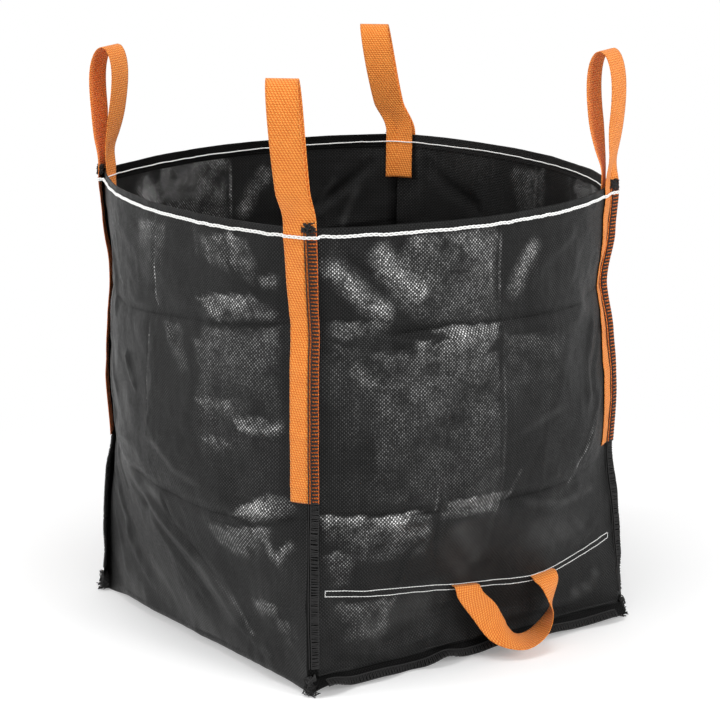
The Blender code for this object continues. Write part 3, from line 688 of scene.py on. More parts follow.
# %% Points on a wall
def skin(face, s, z):
    """Point of the form, before the thickness of the layers."""
    s, z = np.broadcast_arrays(np.asarray(s, float), np.asarray(z, float))
    blend = smooth(z / ROUND_FROM)
    radius = MEAN_RADIUS - CORNER_REACH + 2 * CORNER_REACH * s * s
    angle = math.pi / 4 * s
    reach = (1 - blend) * HALF + blend * radius * np.cos(angle)
    travel = (1 - blend) * HALF * s + blend * radius * np.sin(angle)
    stand_out = seam_offset(z)
    for side, left_wall in ((1, face), (-1, (face - 1) % 4)):
        extra = CORNER_OFFSETS.get(left_wall, (0,) * len(CORNER_HEIGHTS))
        stand_out = stand_out + (side * s > 0) * np.interp(z, CORNER_HEIGHTS, extra)
    swell = s**4 * stand_out / np.hypot(reach, travel)
    reach = reach * (1 + swell) + (1 - s**4) * drape(face, s, z)
    travel = travel * (1 + swell)
    for side, left_wall in ((1, face), (-1, (face - 1) % 4)):
        shift = seam_lean(left_wall, z) / math.sqrt(2) * ((1 + side * s) / 2) ** 3
        travel = travel + shift
        reach = reach - side * shift
    flat = reach[..., None] * NORMALS[face] + travel[..., None] * ALONGS[face]
    return flat + z[..., None] * UP


def unit(v):
    return v / np.linalg.norm(v, axis=-1, keepdims=True)


def tangent(face, s, z):
    low = np.maximum(np.asarray(s, float) - 0.01, -1.0)
    high = np.minimum(np.asarray(s, float) + 0.01, 1.0)
    return unit(skin(face, high, z) - skin(face, low, z))


def outward(face, s, z):
    across = tangent(face, s, z)
    turned = np.stack([across[..., 1], -across[..., 0], 0 * across[..., 0]], axis=-1)
    return unit(turned)


def layer_offset(s):
    """Each wall starts under its left seam fold and ends over the fold at its right seam."""
    return -FOLD_GAP + (OUTER_CLOTH + FOLD_GAP) * (np.asarray(s, float) + 1) / 2


def wall(face, s, z, proud=0.0):
    """Point of the finished cloth's outside, or proud of it."""
    s, z = np.broadcast_arrays(np.asarray(s, float), np.asarray(z, float))
    depth = layer_offset(s) + crumple(face, s, z) + proud
    return skin(face, s, z) + outward(face, s, z) * depth[..., None]


print("front panel's middle:", wall(FRONT, 0.0, 0.3).round(3))

# %% [markdown]
# ## Upright seams
#
# At each corner the two walls are sewn together with their edges turned outward, and both edges
# are laid to the right, seen from outside. The wall on the left runs straight on into its edge.
# The wall on the right folds its edge back over itself. How far the edge lifts off the wall
# differs from corner to corner, and it wavers along the seam.

# %% Seam frames
CORNERS = {
    # name: (wall left of the seam, lift, loop twist, lean along the webbing, lean outward,
    #        loop height, height of the strap's end, share of the cloth's edge beside the webbing)
    "front": (LEFT, 8, -4, -0.0195, 0.000, 0.179, 0.240, 1.0),
    "right": (FRONT, 44, 23, 0.000, -0.003, 0.174, 0.240, 1.0),
    "rear": (RIGHT, 20, -4, 0.037, 0.000, 0.154, 0.240, 1.0),
    "left": (REAR, 12, 19, -0.010, -0.004, 0.162, 0.222, 0.35),
}
CORNER_RIGHT_OF = {values[0]: name for name, values in CORNERS.items()}
CORNER_LEFT_OF = {(values[0] + 1) % 4: name for name, values in CORNERS.items()}


def seam_frame(corner, z):
    """Seam point, the left wall's normal, and the directions along and out of the laid edge."""
    z = np.asarray(z, float)
    left, lift = CORNERS[corner][0], CORNERS[corner][1]
    free = smooth((CORNERS[corner][6] - z) / 0.05)
    lift = lift + 22 * free + (4 + 9 * free) * hills(z / 0.030, z * 0, 80 + left)
    lift = np.radians(lift)[..., None]
    face = (left + 1) % 4
    along, across = tangent(face, -1.0, z), outward(face, -1.0, z)
    run = along * np.cos(lift) + across * np.sin(lift)
    rise = across * np.cos(lift) - along * np.sin(lift)
    return skin(left, 1.0, z), outward(left, 1.0, z), run, rise


def mitre(point, first, second, level):
    """Where two surfaces meet that stand level proud of one seam line."""
    halfway = unit(first + second)
    return point + halfway * level / np.sum(halfway * first, axis=-1, keepdims=True)


def trim(corner, z):
    """Share of the cloth's edge that is left beside the webbing: little at the left corner."""
    above = smooth((np.asarray(z, float) - CORNERS[corner][6]) / 0.006)
    return 1 - (1 - CORNERS[corner][7]) * above


def folded_edge(face, z, share):
    """Edge at a wall's left seam, folded back over the wall: share 0 at the seam, 1 at its tip."""
    point, _, run, rise = seam_frame(CORNER_LEFT_OF[face], z)
    reach = ALLOWANCE * flare(z) * share * trim(CORNER_LEFT_OF[face], z)
    return point + run * reach[..., None] + rise * FOLD_GAP


def laid_edge(face, z, share, level=OUTER_CLOTH):
    """Surface over the edge at a wall's right seam: share 0 at the seam, 1 at its tip."""
    point, normal, run, rise = seam_frame(CORNER_RIGHT_OF[face], z)
    if np.ndim(share) == 0 and share == 0:
        return mitre(point, normal, rise, level)
    reach = ALLOWANCE * flare(z) * share
    return point + run * np.asarray(reach)[..., None] + rise * level


print("laid edge of the front seam:", laid_edge(LEFT, 0.3, 1.0).round(3))

# %% [markdown]
# ## From a table of points to a piece of cloth
#
# Each cloth is a flat grid, as cut from the roll, whose points are then moved to the places in a
# table. Its own UV map keeps the flat place in metres, so that the weave runs true over every
# fold. Solidify gives the cloth its thickness, and thin edges are set with a vertex group.

# %% Cloth from a table
def gathered(
    name, table, flat, finish, thickness, gone=None, thin=None, light_and_wear_table=None, bound=None, turn_over=False
):
    """A grid moved to table[row, column], with flat[row, column] as its UV map in metres."""
    rows, columns = table.shape[0] - 1, table.shape[1] - 1
    bm = bmesh.new()
    bmesh.ops.create_grid(bm, x_segments=columns, y_segments=rows, size=1)
    bm.verts.ensure_lookup_table()
    place = [
        (round((v.co.y + 1) / 2 * rows), round((v.co.x + 1) / 2 * columns)) for v in bm.verts
    ]
    if gone is not None:
        cut = []
        for cell in bm.faces:
            corner = [place[v.index] for v in cell.verts]
            if gone[min(r for r, c in corner), min(c for r, c in corner)]:
                cut.append(cell)
        keys = {v: place[v.index] for v in bm.verts}
        bmesh.ops.delete(bm, geom=cut, context="FACES")
        place = [keys[v] for v in bm.verts]
    if turn_over:
        bmesh.ops.reverse_faces(bm, faces=bm.faces[:])
    mesh = bpy.data.meshes.new(name)
    bm.to_mesh(mesh)
    bm.free()
    at = np.array(place)
    mesh.vertices.foreach_set("co", table[at[:, 0], at[:, 1]].ravel())
    corners = np.zeros(len(mesh.loops), np.int32)
    mesh.loops.foreach_get("vertex_index", corners)
    uv = mesh.uv_layers.new(name="cloth")
    uv.data.foreach_set("uv", flat[at[:, 0], at[:, 1]][corners].ravel())
    # Two attributes: wear with painted highlight, and paleness with painted shade.
    if light_and_wear_table is not None:
        for index, kind in enumerate(("wear", "haze")):
            mark_layer = mesh.attributes.new(kind, "FLOAT", "POINT")
            mark_layer.data.foreach_set("value", light_and_wear_table[at[:, 0], at[:, 1], index])
    if bound is not None:
        shade_layer = mesh.attributes.new("bound", "FLOAT", "POINT")
        shade_layer.data.foreach_set("value", bound[at[:, 0], at[:, 1]])
    mesh.materials.append(finish)
    mesh.shade_smooth()
    mesh.update()
    made = bpy.data.objects.new(name, mesh)
    scene.collection.objects.link(made)
    body = made.modifiers.new("Cloth thickness", "SOLIDIFY")
    body.thickness = thickness
    body.offset = -1
    if thin is not None:
        group = made.vertex_groups.new(name="thickness")
        values = thin[at[:, 0], at[:, 1]]
        for value in np.unique(values):
            group.add(np.flatnonzero(values == value).tolist(), float(value), "REPLACE")
        body.vertex_group = group.name
    return made


def dress(made, slot, *names):
    """The piece rides on the bag and stands for these solids."""
    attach(made, "root")
    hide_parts(*names)
    faces = len(made.data.polygons) if made.type == "MESH" else len(made.data.splines)
    print(made.name, faces)
    return made


# %% [markdown]
# ## Woven tape cloth
#
# The cloth is a plain weave of flat plastic tapes, each about 2.3 mm wide. Where tapes cross,
# one lies on top and arches a little. The nodes build that from the flat UV map: whole numbers
# name the tape, fractions say where on it a point is, and a checkerboard says which tape is on
# top. Each tape gets its own tone and each crossing its own gloss. The gaps between tapes are
# painted darker as painted shade, and one set of crossings lighter as painted glint. The wear
# attribute shows as white flecks on the weave: whitened creases, and painted highlight on glossy
# folds. The haze attribute adds an even paleness, and where it is below 0 it is painted shade
# that darkens the tone and dulls the gloss.

# %% Material helpers
def new_material(name):
    made = bpy.data.materials.new(name)
    tree = Tree(made)
    return made, tree, tree.nodes["Principled BSDF"].inputs


def noise(tree, vector, scale, detail):
    node = tree.add("TexNoise")
    for name, value in (("Scale", scale), ("Detail", detail), ("Vector", vector)):
        tree.feed(node.inputs[name], value)
    return node.outputs["Fac"]


def colour_ramp(tree, value, *stops):
    node = tree.add("ValToRGB")
    for index, (position, colour) in enumerate(stops):
        if index > 1:
            node.color_ramp.elements.new(position)
        stop = node.color_ramp.elements[index]
        stop.position = position
        stop.color = (*colour, 1)
    tree.feed(node.inputs["Fac"], value)
    return node.outputs["Color"]


def bumped(tree, shader, height, strength, distance):
    node = tree.add("Bump")
    for name, value in (("Strength", strength), ("Distance", distance), ("Height", height)):
        tree.feed(node.inputs[name], value)
    tree.feed(shader["Normal"], node.outputs["Normal"])


def attribute(tree, name):
    return tree.add("Attribute", attribute_name=name).outputs["Fac"]


def flat_place(tree, scale):
    """The flat place on the cloth, in steps of scale metres, as two numbers."""
    uv = tree.add("UVMap", uv_map="cloth").outputs["UV"]
    split = tree.add("SeparateXYZ")
    tree.feed(split.inputs[0], uv)
    return uv, *(tree.maths("DIVIDE", split.outputs[axis], scale) for axis in (0, 1))


def whole_and_part(tree, value):
    return tree.maths("FLOOR", value), tree.maths("FRACT", value)


def arch(tree, value):
    """0 at a tape's two edges and 1 along its middle, with a flat top."""
    centred = tree.times_add(value, 2.0, -1.0)
    squared = tree.times(centred, centred)
    return tree.maths("SUBTRACT", 1.0, tree.times(squared, squared))


def hump(tree, value):
    """A tape's rise over the one it crosses."""
    return tree.maths("SINE", tree.times(value, math.pi))


# %% [markdown]
# The material itself: first the weave's relief, then the tone that each tape, crossing, scuff and
# mark adds, with painted shade, glint and highlight among them, and last the gloss, the roughness
# and the bump.

# %% Woven tape
TAPE = 0.0023
woven_tape, tree, shader = new_material("black_woven_cloth")
place, u, v = flat_place(tree, TAPE)
iu, fu = whole_and_part(tree, u)
iv, fv = whole_and_part(tree, v)
checker = tree.maths("PINGPONG", tree.maths("ADD", iu, iv), 1.0)
upright = tree.times(arch(tree, fu), hump(tree, fv))
level = tree.times(arch(tree, fv), hump(tree, fu))
weave = tree.mixed(checker, upright, level)


def tape_tone(number):
    """A random tone for each numbered tape."""
    node = tree.add("TexWhiteNoise", noise_dimensions="1D")
    tree.feed(node.inputs["W"], number)
    return node.outputs["Value"]


crossing = tree.add("CombineXYZ")
tree.feed(crossing.inputs[0], iu)
tree.feed(crossing.inputs[1], iv)
cell = tree.add("TexWhiteNoise")
tree.feed(cell.inputs["Vector"], crossing.outputs[0])
cell = cell.outputs["Value"]
tapes = tree.mixed(checker, tape_tone(iu), tape_tone(tree.maths("ADD", iv, 0.37)))
scuffs = noise(tree, place, 30.0, 4.0)
# Painted shade and glint of the weave: gaps between tapes dark, tape tops light, one set of crossings far
# lighter than the other.
weave_shade_and_glint = tree.times(tree.maths("POWER", weave, 1.2), tree.times_add(checker, 0.88, 0.12))
haze = attribute(tree, "haze")
paleness = tree.maths("MAXIMUM", haze, 0.0)
painted_shade = tree.maths("MINIMUM", haze, 0.0)
tone = tree.times_add(tapes, 0.004, 0.001)
tone = tree.times_add(scuffs, 0.003, tone)
tone = tree.times_add(weave_shade_and_glint, 0.022, tone)
tone = tree.times_add(paleness, 0.060, tone)
# White flecks from the wear attribute: whitened creases, and painted highlight as a glint on each
# crossing.
wear_and_glint_speckle = tree.times(tree.times_add(weave_shade_and_glint, 1.30, 0.005), attribute(tree, "wear"))
tone = tree.times_add(wear_and_glint_speckle, tree.times_add(cell, 1.1, 0.25), tone)
# Painted shade: below 0 the haze attribute darkens the tone.
tone = tree.times(tone, tree.times_add(painted_shade, 0.8, 1.0))
pale = colour_ramp(tree, tone, (0.0, (0, 0, 0)), (1.0, (1.0, 1.0, 0.99)))
tree.feed(shader["Base Color"], pale)
# Painted shade also lowers the gloss where the haze attribute is below 0.
tree.feed(shader["Specular IOR Level"], tree.times_add(painted_shade, 0.5, 0.5))
rough = tree.times_add(cell, 0.14, 0.24)
tree.feed(shader["Roughness"], tree.times_add(scuffs, 0.16, rough))
shader["IOR"].default_value = 1.21
bumped(tree, shader, tree.times_add(cell, 0.35, weave), 0.6, 0.0006)
print("tape width, mm:", TAPE * 1e3)

# %% [markdown]
# ## Orange webbing
#
# Webbing is a thick, narrow weave. Its face shows short fat yarns in rows, and each row is shifted
# against the one before it, so that the yarns line up on a slant. The rows and the shift come from
# the flat place across and along the band, and the same pattern drives the painted shade in the
# grooves and the bump. Where the webbing is bound into a seam it is painted darker, as painted
# shade.

# %% Webbing
COLUMN = 0.0038
EDGE_RIB = 0.0022
webbing, tree, shader = new_material("orange_webbing")
place, u, v = flat_place(tree, COLUMN)
iv, fv = whole_and_part(tree, tree.times(v, 1.25))
shifted = tree.times_add(fv, 0.45, tree.times_add(iv, 0.36, u))
yarn = hump(tree, tree.maths("FRACT", shifted))
relief = tree.times(yarn, tree.maths("POWER", hump(tree, fv), 0.7))
edge_rib = tree.ranged(
    tree.maths("ABSOLUTE", tree.times(u, COLUMN)),
    from_min=WEBBING_WIDTH / 2 - EDGE_RIB,
    from_max=WEBBING_WIDTH / 2 - EDGE_RIB + 0.0006,
)
fibres = noise(tree, place, 700.0, 3.0)
shade = tree.times_add(relief, 0.60, 0.06)
shade = tree.times_add(fibres, 0.36, shade)
shade = tree.times_add(noise(tree, place, 55.0, 3.0), 0.20, shade)
# Painted shade: the part bound into the seam is darker.
shade = tree.times_add(attribute(tree, "bound"), -0.34, shade)
orange = colour_ramp(
    tree, shade, (0.05, (0.40, 0.060, 0.006)), (0.50, (0.83, 0.205, 0.020)), (0.90, (0.98, 0.40, 0.080))
)
tree.feed(shader["Base Color"], orange)
shader["Roughness"].default_value = 0.82
shader["Specular IOR Level"].default_value = 0.3
shader["Sheen Weight"].default_value = 0.15
shader["Sheen Roughness"].default_value = 0.5
height = tree.times_add(edge_rib, 0.8, tree.times_add(fibres, 0.25, relief))
bumped(tree, shader, height, 0.8, 0.0010)
print("yarns across the webbing:", round(WEBBING_WIDTH / COLUMN))

# %% [markdown]
# ## Threads
#
# The rim and the handle's band are sewn in white, the raw edges in black. A thread is matt, with
# fine fibres that break up its outline, so a small bump and some change of tone are enough.

# %% Thread
def thread_material(name, dark, light):
    made, tree, shader = new_material(name)
    twist = noise(tree, tree.add("TexCoord").outputs["Object"], 1500.0, 2.0)
    tree.feed(shader["Base Color"], colour_ramp(tree, twist, (0.3, dark), (0.7, light)))
    shader["Roughness"].default_value = 0.75
    bumped(tree, shader, twist, 0.5, 0.0002)
    return made


white_thread = thread_material("white_thread", (0.86, 0.86, 0.84), (0.99, 0.99, 0.98))
black_thread = thread_material("black_thread", (0.003, 0.003, 0.003), (0.013, 0.012, 0.012))
print("threads:", white_thread.name, black_thread.name)

# %% [markdown]
# ## Front and rear panels
#
# A side panel is a single cloth. From its left edge, which lies folded back on its own outside,
# it turns into the seam, crosses the wall and runs on into the laid edge at the right. At the top
# it folds over into a hem, and at the bottom it hangs as a short wavy flange that the floor's
# edge is sewn to. The table has a column for each step across and a row for each step up.

# %% Stations
EDGE_SHARES = np.array([1.0, 0.8, 0.6, 0.4, 0.2, 0.02])


def stations(low, high, step, dense, fine):
    """Places from low to high, step apart, and fine apart inside the dense stretches."""
    places = [low]
    while places[-1] < high:
        here = places[-1]
        close = any(first <= here < last for first, last in dense)
        places.append(here + (fine if close else step))
    return np.array(places[:-1] + [high])


ENDS = [(-1, -0.96), (0.96, 1)]
ACROSS = stations(-1, 1, 0.0158, ENDS + [(-0.03, 0.03), (-0.38, -0.28)], 0.0062)
ACROSS_LONG = stations(-1, 1, 0.0180, ENDS + [(-0.11, 0.03)], 0.0064)
UP_THE_WALL = stations(BASE_ROUNDING, HEIGHT, 0.0044, [(0.200, 0.232), (0.424, 0.474)], 0.0017)
print("stations across and up:", len(ACROSS), len(ACROSS_LONG), len(UP_THE_WALL))
HEM_TURN = [(0.0004, 0.0003), (0.0006, 0.0008), (0.0004, 0.0013)]
HEM_DROPS = [0.001, 0.005, 0.009, 0.013, 0.0165, HEM_DEPTH]
BAND_LOW = 0.0925
BAND_LOW_AT = 0.085


def flange_frame(face, x):
    """Bottom seam point of a side panel at x, and the directions down and out of its flange."""
    x = np.asarray(x, float)
    angle = np.radians(36 + 26 * hills(x / 0.045, x * 0, 90 + face) + 9 * np.sin(x / 0.013))
    down, outside = -UP, NORMALS[face]
    run = down * np.cos(angle)[..., None] + outside * np.sin(angle)[..., None]
    rise = outside * np.cos(angle)[..., None] - down * np.sin(angle)[..., None]
    along = ALONGS[face]
    return outside * HALF + along * x[..., None] + UP * BASE_ROUNDING, run, rise


def flange_underside(face, x, shares):
    """Points under a side panel's flange, where the floor's edge is sewn to it."""
    seam, run, rise = flange_frame(face, np.array(x))
    return np.array([seam + run * FLANGE * share + rise * FOLD_GAP for share in shares])


def flat_across(s):
    """Flat places across a wall and both of its edges, in metres from its middle."""
    edge = 1 + EDGE_SHARES * ALLOWANCE / HALF_ARC
    return np.concatenate([-edge, s, edge[::-1]]) * HALF_ARC


def padded(line):
    """A row widened to the full table by repeating its ends."""
    edges = len(EDGE_SHARES)
    return np.concatenate([np.repeat(line[:1], edges, 0), line, np.repeat(line[-1:], edges, 0)])


def hem_rows(face, s):
    """The rows that turn over the rim and run down inside it."""
    rows = []
    top = crumple(face, s, np.full_like(s, HEIGHT))[:, None]
    normal = outward(face, s, HEIGHT)
    base = skin(face, s, HEIGHT)
    offset = layer_offset(s)[:, None] + top
    for up, inward in HEM_TURN:
        rows.append(base + normal * (offset - inward) + UP * up)
    for drop in HEM_DROPS:
        z = np.full_like(s, HEIGHT - drop)
        rows.append(wall(face, s, z, -0.0015 - 0.0006 * (drop == HEM_DEPTH)))
    return rows


def side_panel(name, face, node):
    z, s = UP_THE_WALL, ACROSS
    edges = len(EDGE_SHARES)
    body = wall(face, s[None, :], z[:, None])
    near_floor = smooth(1 - (z - BASE_ROUNDING) / 0.03)[:, None, None]
    lift = (OUTER_CLOTH - layer_offset(s))[None, :, None]
    body = body + outward(face, s[None, :], z[:, None]) * lift * near_floor
    body[:, -1] = laid_edge(face, z, 0)
    left = np.stack([folded_edge(face, z, share) for share in EDGE_SHARES], axis=1)
    kept = trim(CORNER_RIGHT_OF[face], z)
    laid = np.stack([laid_edge(face, z, share * kept) for share in EDGE_SHARES[::-1]], axis=1)
    table = np.concatenate([left, body, laid], axis=1)
    columns = table.shape[1]
    shares = (1.0, 0.85, 0.7, 0.55, 0.4, 0.25, 0.12)
    seam, run, rise = flange_frame(face, s * HALF)
    flange = [padded(seam + run * FLANGE * share + rise * OUTER_CLOTH) for share in shares]
    hem = [padded(line) for line in hem_rows(face, s)]
    table = np.concatenate([np.stack(flange), table, np.stack(hem)])
    below, rows = len(shares), table.shape[0]
    gone = np.zeros((rows, columns), bool)
    gone[:below, : edges + 2] = True
    gone[:below, columns - edges - 3 :] = True
    gone[below + len(z) - 1 :, :edges] = True
    gone[below + len(z) - 1 :, columns - edges - 1 :] = True
    v = np.concatenate(
        [
            BASE_ROUNDING - np.array(shares) * FLANGE,
            z,
            HEIGHT + 0.0004 * np.arange(1, 4),
            HEIGHT + 0.001 + np.array(HEM_DROPS),
        ]
    )
    flat = np.stack(np.meshgrid(flat_across(s), v), axis=-1)
    light_and_wear_table = np.zeros((*table.shape[:2], 2))
    # Painted shade: the flange, the folded and laid edges and the hem are darker and less glossy.
    light_and_wear_table[..., 1] = -0.7
    light_and_wear_table[below : below + len(z), edges : edges + len(s)] = wear_and_painted_light(face, s[None, :], z[:, None])
    made = gathered(name, table, flat, woven_tape, 0.00045, gone, light_and_wear_table=light_and_wear_table)
    return dress(made, "black_woven_cloth", node)


front_cloth = side_panel("front_cloth", FRONT, "front_panel")
rear_cloth = side_panel("rear_cloth", REAR, "rear_panel")

# %% [markdown]
# ## Long panel
#
# The left wall, the floor and the right wall are one length of cloth, so the bag's left and right
# bottom edges have no seam: the cloth rolls under with a soft bend. The same table idea works,
# with the rows running from one rim down, across the floor and up to the other rim.

# %% Long panel
def long_cloth():
    s = ACROSS_LONG
    z_left, z_right = UP_THE_WALL[::-1], UP_THE_WALL[::2]
    edges = len(EDGE_SHARES)
    bends = np.radians(np.linspace(0, 90, 9)[1:])
    floor_x = np.linspace(-(HALF - BASE_ROUNDING), HALF - BASE_ROUNDING, 41)[1:-1]
    y = -HALF * s

    def wall_rows(face, heights):
        sign = -1 if face == RIGHT else 1
        body = wall(face, (sign * s)[None, :], heights[:, None])
        column = 0 if face == RIGHT else -1
        body[:, column] = laid_edge(face, heights, 0)
        folded = np.stack([folded_edge(face, heights, a) for a in EDGE_SHARES], axis=1)
        kept = trim(CORNER_RIGHT_OF[face], heights)
        laid = np.stack([laid_edge(face, heights, a * kept) for a in EDGE_SHARES], axis=1)
        if face == RIGHT:
            return np.concatenate([laid, body, folded[:, ::-1]], axis=1)
        return np.concatenate([folded, body, laid[:, ::-1]], axis=1)

    def bend_row(side, angle):
        """One row of the roll between a wall and the floor; the angle is 0 at the wall."""
        face = RIGHT if side > 0 else LEFT
        base = wall(face, side * -s, np.full_like(s, BASE_ROUNDING))
        proud = np.abs(base[:, 0]) - HALF
        radius = BASE_ROUNDING * (1 - 0.70 * smooth((np.abs(s) - 0.70) / 0.27))
        turned_by = angle / (math.pi / 2)
        reach = HALF - radius * (1 - math.cos(angle)) + proud * math.cos(angle)
        low = (BASE_ROUNDING - radius) * (1 - turned_by) ** 2 + radius * (1 - math.sin(angle)) + 0.0003
        across = base[:, 1] + (y - base[:, 1]) * turned_by
        return np.stack([side * reach, across, low], axis=1)

    rows = [padded(row) for row in hem_rows(LEFT, s)[::-1]]
    hem = len(rows)
    left_wall = wall_rows(LEFT, z_left)
    table = [np.stack(rows), left_wall]
    table.append(np.stack([padded(bend_row(-1, a)) for a in bends[:-1]]))
    ground_rows = []
    inner = HALF - BASE_ROUNDING
    over = np.clip(np.abs(y) - inner, 0, None)
    rim = BASE_ROUNDING - np.sqrt(np.maximum(BASE_ROUNDING**2 - over**2, 0))
    for x in np.concatenate([[-inner], floor_x, [inner]]):
        fade = smooth((inner - abs(x)) / 0.03)
        z = rim * (0.35 + 0.65 * fade) + 0.0006 * (1 + hills(y / 0.05 + 3, y * 0 + x / 0.05, 5)) * fade
        line = np.stack([np.full_like(y, x), y, z], axis=1)
        rear = flange_underside(REAR, -x, EDGE_SHARES)
        front = flange_underside(FRONT, x, EDGE_SHARES[::-1])
        ground_rows.append(np.concatenate([rear, line, front]))
    table.append(np.stack(ground_rows))
    table.append(np.stack([padded(bend_row(1, a)) for a in bends[:-1][::-1]]))
    table.append(wall_rows(RIGHT, z_right))
    table.append(np.stack([padded(row[::-1]) for row in hem_rows(RIGHT, s)]))
    counts = [len(part) for part in table]
    table = np.concatenate(table)
    starts = np.cumsum([0] + counts)
    gone = np.zeros(table.shape[:2], bool)
    for first, last in ((starts[0], starts[1]), (starts[6], starts[7])):
        gone[first - (first > 0) : last, :edges] = True
        gone[first - (first > 0) : last, -edges - 1 :] = True
    for first, last in ((starts[2] - 1, starts[3]), (starts[4] - 1, starts[5])):
        gone[first:last, :edges] = True
        gone[first:last, -edges - 1 :] = True
    middle = table[:, edges + len(s) // 2]
    v = np.concatenate([[0], np.cumsum(np.linalg.norm(np.diff(middle, axis=0), axis=1))])
    flat = np.stack(np.meshgrid(flat_across(s), v), axis=-1)
    light_and_wear_table = np.zeros((*table.shape[:2], 2))
    # Painted shade on the folded and laid edges: darker and less glossy.
    light_and_wear_table[:, :edges, 1] = -0.7
    light_and_wear_table[:, -edges:, 1] = -0.7
    light_and_wear_table[starts[1] : starts[2], edges : edges + len(s)] = wear_and_painted_light(LEFT, s[None, :], z_left[:, None])
    light_and_wear_table[starts[5] : starts[6], edges : edges + len(s)] = wear_and_painted_light(RIGHT, -s[None, :], z_right[:, None])
    made = gathered(
        "long_cloth", table, flat, woven_tape, 0.00045, gone, light_and_wear_table=light_and_wear_table, turn_over=True
    )
    return dress(made, "black_woven_cloth", "long_panel")


long_piece = long_cloth()

# %% [markdown]
# ## Lifting loops
#
# One band of webbing is sewn up the seam, half on the wall and half bound into the laid edge. It
# leaves the rim, makes a tall narrow loop and comes back down inside. The loop's width faces a
# different way at each corner, because webbing keeps the twist that it was sewn with. The table
# follows the band's middle line, and each row is as wide as the band.

# %% Lifting loops
LOOP_WIDTH = 0.044
LOOP_ON_FACE = 0.0235
LOOP_INSIDE = 0.060
LOOP_FLATTENS = 0.045
BOUND = WEBBING_WIDTH - LOOP_ON_FACE


def turned(vector, angle):
    cosine, sine = np.cos(angle), np.sin(angle)
    x = vector[0] * cosine - vector[1] * sine
    return np.stack([x, vector[0] * sine + vector[1] * cosine, 0 * x], axis=-1)


def band_flat(table, width_of):
    """The band's flat places: across from its middle, and along its middle line."""
    middle = table[:, table.shape[1] // 2]
    along = np.concatenate([[0], np.cumsum(np.linalg.norm(np.diff(middle, axis=0), axis=1))])
    return np.stack(np.meshgrid(width_of, along), axis=-1)


def lifting_loop(corner):
    face, _, twist, lean_along, lean_out, loop_height, strap_end, _ = CORNERS[corner]
    middle = WEBBING_WIDTH / 2 - LOOP_ON_FACE
    near_seam = [-0.002, -0.001, 0.0, 0.001, 0.002]
    across = np.sort(np.concatenate([np.linspace(-LOOP_ON_FACE, BOUND, 15), near_seam]))
    z_out = np.linspace(strap_end, HEIGHT, 110)
    z_in = np.linspace(HEIGHT, HEIGHT - LOOP_INSIDE, 20)

    def outside(z):
        columns = []
        for a in across:
            groove = 0.0008 * ripple(a - 0.0010, 0.0026)
            if a > 0:
                columns.append(laid_edge(face, z, a / ALLOWANCE, STRAP_LEVEL - groove))
            else:
                proud = STRAP_LEVEL - OUTER_CLOTH - groove
                columns.append(wall(face, 1 + a * flare(z) / HALF_ARC, z, proud))
        return np.stack(columns, axis=1)

    def inside(z):
        columns = []
        for a in across:
            share = a / HALF_ARC
            side, s = (face, 1 + share) if share < 0 else ((face + 1) % 4, -1 + share)
            depth = (INSIDE_STRAP + WEBBING) * np.ones_like(z)
            columns.append(skin(side, s, z) - outward(side, s, z) * depth[:, None])
        return np.stack(columns, axis=1)

    phase = np.linspace(0, 2 * math.pi, 121)[1:-1]
    rise = (1 - np.cos(phase)) / 2
    diagonal = unit(NORMALS[face] + NORMALS[(face + 1) % 4])
    out = turned(diagonal, -math.radians(twist) * smooth(rise * 2))
    along = np.stack([-out[:, 1], out[:, 0], 0 * rise], axis=-1)
    bulge = 1.12 * LOOP_WIDTH / 2 * np.sin(phase) * np.sin(phase / 2) ** 1.7
    level = (STRAP_LEVEL + INSIDE_STRAP + WEBBING) / 2
    apart = level * np.cos(phase / 2) + STRAP_LEVEL - level
    wobble = 0.0012 * hills(phase * 1.3, phase * 0, 100 + face)
    reach = bulge + apart + lean_out * rise + wobble
    centre = skin(face, 1.0, HEIGHT) + out * reach[:, None]
    centre = centre + along * (middle + lean_along * rise**0.65)[:, None]
    centre = centre + UP * (loop_height * rise)[:, None]
    width = across - middle
    curl = 0.0012 * (np.abs(width) / (WEBBING_WIDTH / 2)) ** 3
    free = centre[:, None] + along[:, None] * width[None, :, None]
    free = free - out[:, None] * (curl[None, :] * np.cos(phase / 2)[:, None])[..., None]
    settled = smooth(loop_height * rise / LOOP_FLATTENS)[:, None, None]
    first, last = outside(z_out[-1:])[0], inside(z_in[:1])[0]
    start = np.where((phase < math.pi)[:, None, None], first[None], last[None])
    start = start + UP * (loop_height * rise)[:, None, None]
    free = start * (1 - settled) + free * settled
    table = np.concatenate([outside(z_out), free, inside(z_in)])
    thin = np.ones(table.shape[:2])
    thin[:, [0, -1]] = 0.55
    # Where the webbing is bound into the seam; the material paints it darker as painted shade.
    bound = np.zeros(table.shape[:2])
    bound[: len(z_out)] = smooth((across - 0.001) / 0.002)[None, :]
    flat = band_flat(table, across - middle)
    made = gathered("loop_" + corner, table, flat, webbing, WEBBING, thin=thin, bound=bound)
    return dress(made, "orange_webbing", "lifting_loop_" + corner)


loops = [lifting_loop(corner) for corner in CORNERS]

# %% [markdown]
# ## Tipping handle
#
# A shorter band comes out of the front panel through a slit, hangs in a twisted loop and goes back
# in through a second slit. A few stations give the middle of the band and the direction of its
# width, and a smooth curve through them gives the rows between.

# %% Tipping handle
SLIT_LEFT = -0.0235
SLIT_RIGHT = 0.1015


def band_height(x):
    """Height of the handle's sewn band, which sags towards its right slit."""
    slope = np.where(np.asarray(x) > BAND_LOW_AT, 0.20, 0.12)
    return BAND_LOW + slope * (np.hypot(x - BAND_LOW_AT, 0.038) - 0.038)


def on_front(x, z, proud):
    return wall(FRONT, np.asarray(x) / HALF, z, proud)


